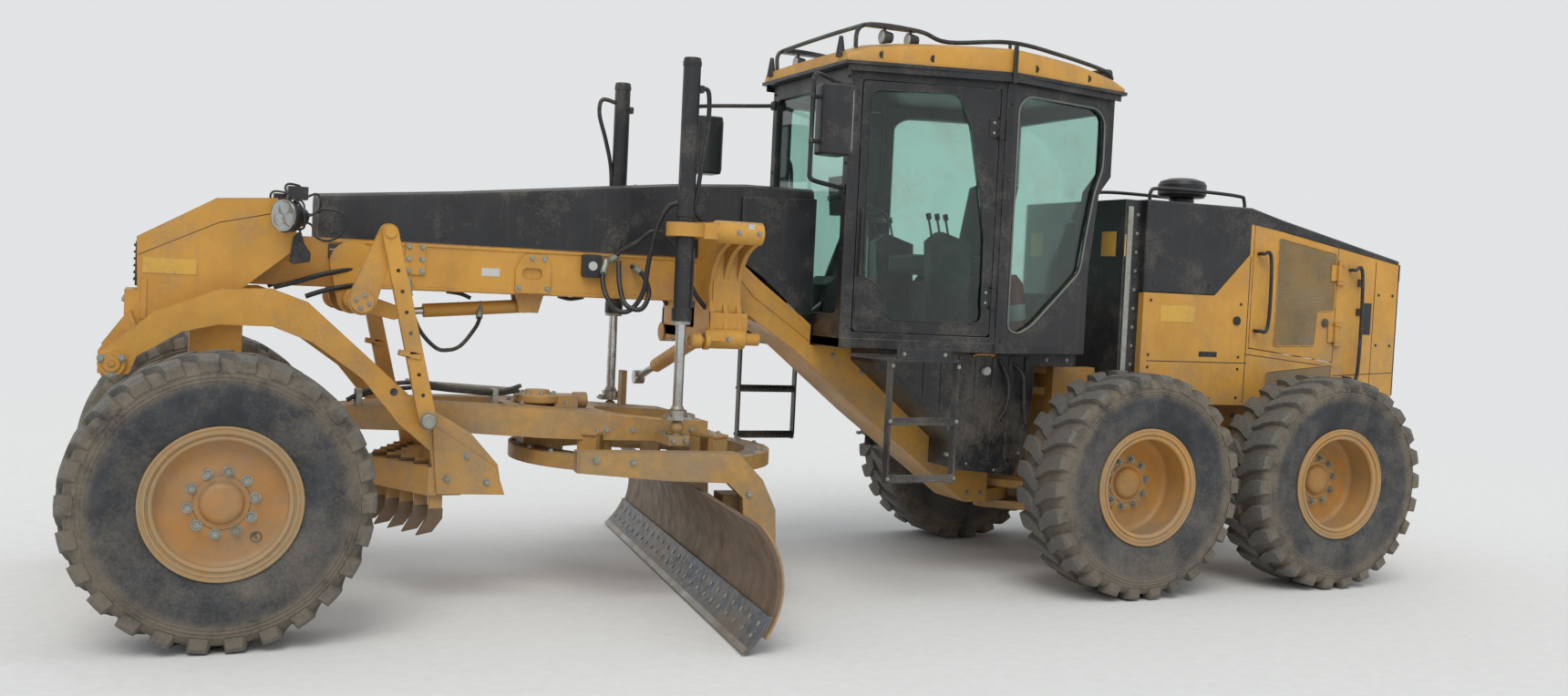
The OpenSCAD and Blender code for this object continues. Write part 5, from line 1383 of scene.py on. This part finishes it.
tubes("beam_hoses", [
    [(-0.266, 0.20, 1.638), (-0.376, 0.20, 1.671), (-0.488, 0.20, 1.710), (-0.602, 0.19, 1.739),
     (-0.708, 0.17, 1.758), (-0.80, 0.158, 1.765)],
    [(-0.424, 0.20, 1.597), (-0.514, 0.20, 1.63), (-0.664, 0.19, 1.665), (-0.78, 0.16, 1.675)],
    [(-0.266, -0.20, 1.638), (-0.40, -0.20, 1.70), (-0.60, -0.18, 1.76), (-0.80, -0.158, 1.78)]],
    0.013, graphite, "front", "rubber")
tubes("crank_hoses", [
    [(-0.948, 0.17, 1.703), (-0.957, 0.20, 1.588), (-1.005, 0.24, 1.444), (-1.094, 0.24, 1.349),
     (-1.167, 0.22, 1.337), (-1.239, 0.17, 1.358), (-1.310, 0.12, 1.429), (-1.361, 0.06, 1.500),
     (-1.38, 0.0, 1.60)],
    [(-1.186, 0.0, 1.65), (-1.262, 0.02, 1.640), (-1.316, 0.03, 1.618)],
    [(-1.847, -0.10, 1.648), (-1.919, -0.10, 1.634), (-2.000, -0.10, 1.648)]], 0.011, graphite, "front",
    "rubber")
tubes("lift_hoses", [
    [(-2.50, 0.50, 2.10), (-2.40, 0.49, 2.19), (-2.31, 0.46, 2.18), (-2.25, 0.43, 2.05), (-2.23, 0.38, 1.871),
     (-2.21, 0.36, 1.694), (-2.147, 0.33, 1.591), (-2.079, 0.30, 1.589), (-2.024, 0.28, 1.661),
     (-2.014, 0.22, 1.76), (-2.046, 0.18, 1.86)],
    [(-2.60, 0.33, 1.62), (-2.52, 0.33, 1.72), (-2.45, 0.31, 1.90), (-2.36, 0.29, 2.02),
     (-2.279, 0.27, 2.043), (-2.202, 0.24, 1.978), (-2.125, 0.20, 1.924), (-2.09, 0.17, 1.88)],
    [(-2.112, 0.20, 1.863), (-2.102, 0.26, 1.738), (-2.123, 0.32, 1.623), (-2.203, 0.36, 1.601),
     (-2.252, 0.34, 1.694), (-2.24, 0.24, 1.80), (-2.20, 0.17, 1.84)],
    [(-2.50, -0.50, 2.10), (-2.40, -0.46, 2.19), (-2.31, -0.40, 2.24), (-2.29, -0.32, 2.27),
     (-2.33, -0.24, 2.30), (-2.35, -0.17, 2.28)],
    [(-2.60, -0.33, 1.62), (-2.52, -0.33, 1.72), (-2.40, -0.28, 1.80), (-2.25, -0.22, 1.82),
     (-2.20, -0.16, 1.80)]],
    0.014, graphite, "front", "rubber")
tubes("lift_port_hose_left", [[(-2.405, 0.62, 2.82), (-2.455, 0.61, 2.81), (-2.465, 0.60, 2.65),
                               (-2.445, 0.59, 2.45), (-2.42, 0.60, 2.27),
                               (-2.398, 0.61, 2.17)]], 0.013, graphite, "lift_barrel_left", "rubber")
tubes("lift_port_hose_right", [[(-2.305, -0.62, 2.86), (-2.22, -0.62, 2.87), (-2.205, -0.62, 2.78),
                                (-2.25, -0.62, 2.63), (-2.29, -0.62, 2.47),
                                (-2.302, -0.62, 2.32)]], 0.013, graphite, "lift_barrel_right", "rubber")
ends = bmesh.new()
for (xa, ya, za), (xb, yb, zb) in (
        ((-2.107, 0.172, 1.893), (-2.06, 0.20, 1.865)), ((-2.046, 0.172, 1.862), (-2.016, 0.22, 1.79)),
        ((-2.21, 0.165, 1.84), (-2.235, 0.235, 1.802)), ((-2.35, -0.168, 2.285), (-2.335, -0.25, 2.32)),
        ((-0.80, 0.156, 1.765), (-0.745, 0.165, 1.762)), ((-0.948, 0.165, 1.71), (-0.953, 0.195, 1.62)),
        ((-1.375, 0.01, 1.59), (-1.362, 0.055, 1.51))):
    rod(ends, (xa, ya, za), (xb, yb, zb), 0.019, 12)
made("hose_ends", ends, zinc, "front", "steel", rounding=0.001)
boxes, pale = bmesh.new(), bmesh.new()
for s in (-1, 1):
    slab(boxes, soft([(-1.905, 1.765), (-1.905, 1.895), (-2.018, 1.895), (-2.018, 1.765)], 0.02), s * 0.152,
         s * 0.195)
    rod(pale, (-1.962, s * 0.194, 1.83), (-1.962, s * 0.202, 1.83), 0.026, 20)
    slab(boxes, soft([(-0.533, 1.803), (-0.535, 1.880), (-0.650, 1.883), (-0.652, 1.808)], 0.005), s * 0.155,
         s * 0.166)
    slab(pale, [(-0.540, 1.845), (-0.540, 1.852), (-0.646, 1.855), (-0.646, 1.848)], s * 0.1655, s * 0.1670)
    slab(pale, [(-1.345, 1.745), (-1.345, 1.790), (-1.445, 1.790), (-1.445, 1.745)], s * 0.1525, s * 0.1540)
    slab(boxes, [(-0.378, 1.938), (-0.398, 1.87), (-0.431, 1.82), (-0.428, 1.778), (-0.349, 1.76),
                 (-0.326, 1.773), (-0.345, 1.90)], s * 0.318, s * 0.330)
made("beam_boxes", boxes, graphite, "front", "black", rounding=0.004)
made("beam_pale_plates", pale, white_paint, "front", "steel")

# Drawbar and circle: welded yellow plate, rust-marked where parts rub. The drawbar carries a capped
# drive, clamped shoes and hose clips; the circle is a toothed ring on worn, greased faces.

scuffed = painted("scuffed_yellow", (0.58, 0.30, 0.055, 1), (0.42, 0.235, 0.06, 1), (0.085, 0.055, 0.038, 1),
                  least=0.18, most=0.75, edges=0.012, grain=14.0)
dress(scuffed, "circle", "blade_bracket")
dress(zinc, "drawbar_pivot")
circle_x = -2.35


def on_circle(degrees):
    """From round the front axle's middle to round the circle's, with a turn."""
    return (Matrix.Translation(at(circle_x, 0, 0)) @ Matrix.Rotation(math.radians(degrees), 4, "Z") @
            Matrix.Translation(-at(0, 0, 0)))


turned = on_circle(-6.7)
frame_top = [(-0.42, 1.000), (-1.13, 1.056), (-1.66, 1.041), (-2.37, 0.980), (-2.60, 0.980)]
frame_foot = [(-0.42, 0.900), (-1.13, 0.900), (-1.66, 0.877), (-2.37, 0.866), (-2.60, 0.866)]


def level(line, x):
    """The height of a line of (distance, height) points at a distance."""
    for (a, za), (b, zb) in zip(line, line[1:]):
        if x >= b:
            return za + (zb - za) * (x - a) / (b - a)
    return line[-1][1]


def in_frame(a, b, d):
    """From (distance, across, share of the height) to a place in the drawbar's frame."""
    return at(a, b, level(frame_foot, a) * (1 - d) + level(frame_top, a) * d)


half_width = [(-0.42, 0.112), (-0.78, 0.194), (-1.13, 0.274), (-1.40, 0.336), (-1.66, 0.395), (-1.90, 0.450),
              (-2.10, 0.450), (-2.37, 0.450), (-2.60, 0.450)]
rim_line = half_width + [(-2.60, 0.15), (-2.60, -0.15)] + [(a, -b) for a,
                                                           b in reversed(half_width)] + [(-0.42, 0)]
eye = round_spots(0.30, 40, -2.37)
window = soft([(-0.90, 0.06), (-1.13, 0.124), (-1.50, 0.22), (-1.50, -0.22), (-1.13, -0.124), (-0.90, -0.06)],
              0.03)
bar_frame = bmesh.new()
plate(bar_frame, [rim_line, window, eye], 0.0, 1.0, in_frame)
ear = [(-0.44, 0.90)] + [(-0.30 + 0.05 * math.cos(a), 0.95 + 0.05 * math.sin(a))
                         for a in [math.radians(-90 + 15 * i) for i in range(13)]] + [(-0.44, 1.0)]
bore = round_spots(0.0303, 28, -0.30, 0.95)
for s in (-1, 1):
    plate(bar_frame, [ear, bore], 0.075, 0.112, lambda a, b, d, s=s: at(a, s * d, b))
    block(bar_frame, (-2.41, s * 0.44, 0.866), (-2.29, s * 0.67, 0.920))
    rod(bar_frame, (-2.35, s * 0.62, 0.90), (-2.35, s * 0.62, 0.965), 0.022, 20)
    ball = bmesh.new()
    bmesh.ops.create_uvsphere(ball, u_segments=24, v_segments=14, radius=0.038,
                              matrix=Matrix.Translation(at(-2.35, s * 0.62, 0.965)))
    part = bpy.data.meshes.new("ball")
    ball.to_mesh(part)
    ball.free()
    bar_frame.from_mesh(part)
    bpy.data.meshes.remove(part)
for angle in (-115, -45, 45, 115):
    spin = on_circle(angle)
    block(bar_frame, (0.55, -0.06, 0.690), (0.615, 0.06, 0.900), spin)
    block(bar_frame, (0.55, -0.06, 0.690), (0.640, 0.06, 0.715), spin)
    block(bar_frame, (0.47, -0.06, 0.8005), (0.650, 0.06, 0.900), spin)
block(bar_frame, (-2.394, -0.50, 0.866), (-2.360, -0.43, 1.200))
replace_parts(made("drawbar_frame", bar_frame, scuffed, "drawbar", "yellow", rounding=0.004, smooth=30),
            "drawbar")
drive = bmesh.new()
lathe(drive, [(0.0, 1.04), (0.128, 1.04), (0.134, 1.046), (0.134, 1.082), (0.115, 1.090), (0.075, 1.092),
              (0.070, 1.112), (0.0, 1.114)], 36)
drive_x = -1.72
for v in drive.verts:
    v.co += at(drive_x, 0, 0)
block(drive, (-1.94, -0.09, 1.01), (-1.80, 0.09, 1.085))
rod(drive, (-2.01, 0, 1.055), (-1.93, 0, 1.055), 0.045, 24)
rod(drive, (drive_x, 0, 0.74), (drive_x, 0, 0.88), 0.07, 28)
made("drive_cap", drive, scuffed, "drawbar", "yellow", rounding=0.004)
bolts("drive_bolts", "drawbar", [((x, y, 1.0905), up_way) for x, y in round_spots(0.098, 8, drive_x)] +
      [((drive_x + 0.20 * math.cos(a), 0.20 * math.sin(a), 1.044), up_way) for a in (0.9, -0.9, 2.3, -2.3)],
      across=0.012)
shoes = bmesh.new()
shoe_spots = []
for angle in (-115, -45, 45, 115):
    spin = on_circle(angle)
    slab(shoes, [(0.47, 0.900), (0.66, 0.900), (0.66, 0.915), (0.47, 0.930)], -0.058, 0.058, "Y", spin)
    for x in (0.52, 0.60):
        for y in (-0.035, 0.035):
            spot = spin @ at(x, y, 0.918) - at(0, 0, 0)
            shoe_spots.append((tuple(spot), up_way))
made("shoe_clamps", shoes, scuffed, "drawbar", "yellow", rounding=0.003)
bolts("shoe_bolts", "drawbar", shoe_spots, across=0.013)
tubes("drawbar_hoses", [
    [(-0.660, 0.10, 1.048), (-0.752, 0.11, 1.098), (-0.895, 0.11, 1.14), (-1.040, 0.11, 1.147),
     (-1.239, 0.12, 1.125), (-1.467, 0.12, 1.108), (-1.60, 0.10, 1.14)],
    [(-0.70, 0.06, 1.048), (-0.80, 0.07, 1.09), (-1.04, 0.07, 1.12), (-1.239, 0.08, 1.105),
     (-1.467, 0.08, 1.09), (-1.60, 0.06, 1.11)]], 0.012, graphite, "drawbar", "rubber")
tubes("drawbar_pipe", [[(-0.991, -0.05, 1.149), (-1.167, -0.05, 1.132), (-1.579, -0.05, 1.107),
                        (-1.60, -0.05, 1.105)]],
      0.011, zinc, "drawbar", "steel")
clips = bmesh.new()
for x, y, z in ((-0.72, 0.09, 1.02), (-1.04, 0.09, 1.054), (-1.45, 0.10, 1.046)):
    block(clips, (x - 0.015, y - 0.05, z - 0.01), (x + 0.015, y + 0.05, z + 0.09 if x > -1.3 else z + 0.075))
made("hose_clips", clips, zinc, "drawbar", "steel", rounding=0.002)
bolts("drawbar_bolts", "drawbar",
      mirrored([((x, 0.4505, 0.93), side) for x in (-2.0, -2.15, -2.5)] +
               [((circle_x + dx, 0.6705, 0.893), side) for dx in (-0.035, 0.035)] +
               [((circle_x + dx, 0.50 + dy, 0.9203), up_way) for dx in (-0.04, 0.04) for dy in (0, 0.05)]),
               across=0.012)
ring_worn = painted("worn_ring", (0.20, 0.17, 0.14, 1), (0.15, 0.11, 0.08, 1), (0.30, 0.29, 0.27, 1),
                    metallic=0.5, least=0.1, most=0.6, grain=20.0)
track_ring = bmesh.new()
lathe(track_ring, [(0.622, 0.7995), (0.700, 0.7995), (0.700, 0.8015), (0.622, 0.8015)], 72)
for v in track_ring.verts:
    v.co = turned @ (v.co + at(0, 0, 0))
made("circle_track", track_ring, ring_worn, "circle", "steel")
bolts("circle_bolts", "circle", [((0.735 * math.cos(a), 0.735 * math.sin(a), 0.8003), up_way)
      for a in [math.radians(15 * i + 7) for i in range(24)]] +
      [((x, s * 0.8005, z), (0, s, 0)) for s in (1, -1) for x, z in ((0.40, 0.80), (0.20, 0.79),
                                                                     (-0.45, 0.62), (-0.53, 0.42))],
      across=0.014, turn=turned)
arm_caps = bmesh.new()
for s in (-1, 1):
    rod(arm_caps, (-0.51, s * 0.800, 0.17), (-0.51, s * 0.815, 0.17), 0.055, 28, turn=turned)
    slab(arm_caps, [(0.50, 0.733), (0.50, 0.843), (0.49, 0.843), (0.49, 0.733)], s * 0.70, s * 0.81, "Y",
         turned)
made("tip_pin_caps", arm_caps, scuffed, "circle", "yellow", rounding=0.003)

# Blade: rolled plate, its yellow paint gone to brown rust with bright rubs where soil slides along it,
# on two bolted rails. The cutting edge is blue-grey hardened steel, held by rows of square-necked bolts.

rusted = painted("rusty_plate", (0.20, 0.115, 0.058, 1), (0.125, 0.072, 0.042, 1), (0.26, 0.235, 0.20, 1),
                 (0.20, 0.155, 0.11, 1), metallic=0.35, least=0.15, most=0.6, edges=0.010, grain=9.0,
                 gloss=(0.45, 0.75))
edge_steel = painted("edge_steel", (0.125, 0.15, 0.18, 1), (0.085, 0.10, 0.125, 1), (0.34, 0.35, 0.35, 1),
                     metallic=0.6, least=0.02, most=0.35, edges=0.006, grain=22.0, gloss=(0.35, 0.6))
dress(rusted, "moldboard")
dress(edge_steel, "cutting_edge")


def on_blade(y, turn_down, out=0.0):
    """A place on the cutting edge's front face: along the blade, angle round its curve, height off it."""
    r = 0.413 - 0.0163 - out
    a = math.radians(turn_down)
    return turned @ at(0.098 - r * math.cos(a), y, 0.325 - r * math.sin(a))


edge_places, edge_ways = [], []
for i in range(24):
    for down in (28, 38):
        y = -1.75 + i * 3.5 / 23
        edge_places.append(on_blade(y, down, 0.001))
        edge_ways.append((on_blade(y, down, 0.05) - on_blade(y, down)).normalized())
square, q_in, q_out = sprouting("square_heads", [("Across", NUMBER, 0.024), ("Height", NUMBER, 0.008)])
square_head = lay(square, "GeometryNodeMeshCube", {"Size": lay(square, "ShaderNodeCombineXYZ", {
    "X": q_in["Across"], "Y": q_in["Across"], "Z": q_in["Height"]}).outputs[0]})
square_way = lay(square, "GeometryNodeInputNamedAttribute", {"Name": "way"}, data_type="FLOAT_VECTOR")
square_turn = lay(square, "FunctionNodeAlignRotationToVector", {"Vector": square_way.outputs["Attribute"]},
                  axis="Z")
square_set = lay(square, "GeometryNodeInstanceOnPoints", {
    "Points": q_in["Geometry"], "Instance": square_head.outputs["Mesh"], "Rotation": square_turn.outputs[0]})
close_off(square, square_set.outputs["Instances"], q_in["Look"], q_out)
made("edge_bolts", grown("edge_bolts", seeded("edge_seed", edge_places, edge_ways), square, {}, zinc), zinc,
     "blade", "steel")
worn_lip = bmesh.new()
lip = []
for y in (-1.825, 1.825):
    lip.append([worn_lip.verts.new(on_blade(y, down, out)) for down, out in
                ((46, 0.0007), (51.0, 0.0007), (51.0, -0.012), (46, -0.012))])
for i in range(4):
    j = (i + 1) % 4
    worn_lip.faces.new((lip[0][i], lip[0][j], lip[1][j], lip[1][i]))
worn_lip.faces.new(lip[0])
worn_lip.faces.new(lip[1][::-1])
bright_lip = painted("bright_lip", (0.42, 0.42, 0.40, 1), (0.32, 0.31, 0.29, 1), (0.2, 0.15, 0.1, 1),
                     metallic=0.7, least=0.02, most=0.2)
made("worn_lip", worn_lip, bright_lip, "blade", "steel")
side_bits = bmesh.new()
for s in (-1, 1):
    rib = []
    for r in (0.4335, 0.445):
        for y in (s * 1.79, s * 1.8285):
            rib.append([side_bits.verts.new(turned @ at(0.098 - r * math.cos(math.radians(a)), y,
                                                        0.325 - r * math.sin(math.radians(a))))
                                                        for a in range(-44, 35, 6)])
    for a, b in ((0, 1), (1, 3), (3, 2), (2, 0)):
        for i in range(len(rib[0]) - 1):
            side_bits.faces.new((rib[a][i], rib[a][i + 1], rib[b][i + 1], rib[b][i]))
    for end in (0, -1):
        side_bits.faces.new([rib[k][end] for k in (0, 1, 3, 2)])
made("end_ribs", side_bits, scuffed, "blade", "yellow")


# Scarifier: yellow forged arms on the nose, joined by a V block with steel-tipped shanks, lifted by a
# cranked shaft and two drilled links. Its pins are capped and keyed.

dress(yellow, "scarifier", "scarifier_crank", "scarifier_links")
caps = bmesh.new()
for s in (-1, 1):
    rod(caps, (0.475, s * 0.514, 1.25), (0.475, s * 0.534, 1.25), 0.062, 36)
    rod(caps, (0.475, s * 0.533, 1.25), (0.475, s * 0.541, 1.25), 0.040, 32)
    rod(caps, (0.475, s * 0.540, 1.25), (0.475, s * 0.545, 1.25), 0.016, 16)
    plate(caps, [[(-1.04, 0.96), (-1.38, 0.74), (-1.43, 0.59), (-1.07, 0.60), (-1.05, 0.84)]], 0.0, 0.014,
          lambda a, b, d, s=s: at(a, s * (0.5155 + d), b))
made("scarifier_caps", caps, yellow, "scarifier", "yellow", rounding=0.004)
bolts("scarifier_bolts", "scarifier", mirrored(
    [((0.475 + 0.051 * math.cos(a), 0.5345, 1.25 + 0.051 * math.sin(a)), side) for a in (0.5, 2.6, 4.7)] +
    [((x, 0.530, z), side) for x, z in ((-1.22, 0.80), (-1.33, 0.66), (-1.12, 0.68))]), across=0.014)
# Near-black discs where the arms are drilled: painted shade standing in for the holes.
arm_hole_shade = bmesh.new()
for s in (-1, 1):
    rod(arm_hole_shade, (-0.84, s * 0.514, 1.13), (-0.84, s * 0.5165, 1.13), 0.020, 20)
made("arm_hole_shade", arm_hole_shade, black_and_painted_shade, "scarifier", "black")
shank_tips = bmesh.new()
for i in range(-4, 5):
    y = i * 0.12
    x = -0.865 - abs(y) * 0.45
    slab(shank_tips, [(x - 0.034, 0.52), (x + 0.044, 0.52), (x + 0.044, 0.478), (x + 0.099, 0.378),
                      (x + 0.018, 0.395), (x - 0.034, 0.465)], y - 0.015, y + 0.015)
    block(shank_tips, (x - 0.036, y - 0.022, 0.742), (x + 0.046, y + 0.022, 0.758))
made("shank_tips", shank_tips, rusted, "scarifier", "rust", rounding=0.003)
foot_balls, clamps = bmesh.new(), bmesh.new()
for s in (-1, 1):
    rod(foot_balls, (-1.00, s * 0.626, 0.99), (-1.00, s * 0.652, 0.99), 0.046, 28, r_end=0.036)
    plate(clamps, [soft([(-0.955, 1.335), (-0.845, 1.355), (-0.840, 1.325), (-0.950, 1.305)], 0.008)], 0.580,
          0.632, lambda a, b, d, s=s: at(a, s * d, b))
made("link_feet", foot_balls, zinc, "scarifier_links", "steel", rounding=0.004)
made("link_clamps", clamps, yellow, "scarifier_links", "yellow", rounding=0.003)
# Near-black discs along each link: painted shade standing in for its drilled holes.
link_hole_shade = bmesh.new()
for s in (-1, 1):
    for i in range(7):
        t = 0.14 + i * 0.11
        x, z = -1.0 + 0.22 * t, 0.99 + 0.955 * t
        rod(link_hole_shade, (x, s * 0.6245, z), (x, s * 0.6262, z), 0.010, 14)
made("link_hole_shade", link_hole_shade, black_and_painted_shade, "scarifier_links", "black")
crank_caps = bmesh.new()
for s in (-1, 1):
    rod(crank_caps, (-0.66, s * 0.575, 1.59), (-0.66, s * 0.590, 1.59), 0.060, 28)
    rod(crank_caps, (-0.66, s * 0.20, 1.59), (-0.66, s * 0.32, 1.59), 0.058, 28)
made("crank_caps", crank_caps, yellow, "scarifier_crank", "yellow", rounding=0.003)
bolts("crank_bolts", "scarifier_crank", mirrored(
    [((-0.66 + 0.035 * math.cos(a), 0.5905, 1.59 + 0.035 * math.sin(a)), side)
     for a in (0.3, 1.87, 3.44, 5.0)]), across=0.009)
link_tops = bmesh.new()
for s in (-1, 1):
    rod(link_tops, (-0.78, s * 0.6253, 1.945), (-0.78, s * 0.634, 1.945), 0.030, 24)
made("link_tops", link_tops, yellow, "scarifier_links", "yellow", rounding=0.002)

# Front axle: a cast yellow beam rocking on a centre pin, with kingpins bolted in, forked knuckles and a
# dark steel tie rod.

dress(yellow, "front_axle", "knuckle_left", "knuckle_right")
dress(zinc, "tie_rod")
bolts("axle_bolts", "front", mirrored(
    [((0.0705, 0.065 * math.cos(a), 0.72 + 0.065 * math.sin(a)), front_way) for a in (0.2, 1.25, 2.3)] +
    [((0.0655, y, 0.69), front_way) for y in (0.30, 0.42, 0.66, 0.74)] +
    [((0.1805, y, 0.915), front_way) for y in (0.10, 0.30, 0.53)]), across=0.012)
joints = bmesh.new()
for s in (-1, 1):
    rod(joints, (-0.19, s * 0.83, 0.62), (-0.19, s * 0.74, 0.62), 0.030, 20, r_end=0.024)
    rod(joints, (-0.19, s * 0.88, 0.645), (-0.19, s * 0.88, 0.652), 0.028, 20)
made("tie_rod_ends", joints, zinc, "tie_rod", "steel", rounding=0.002)
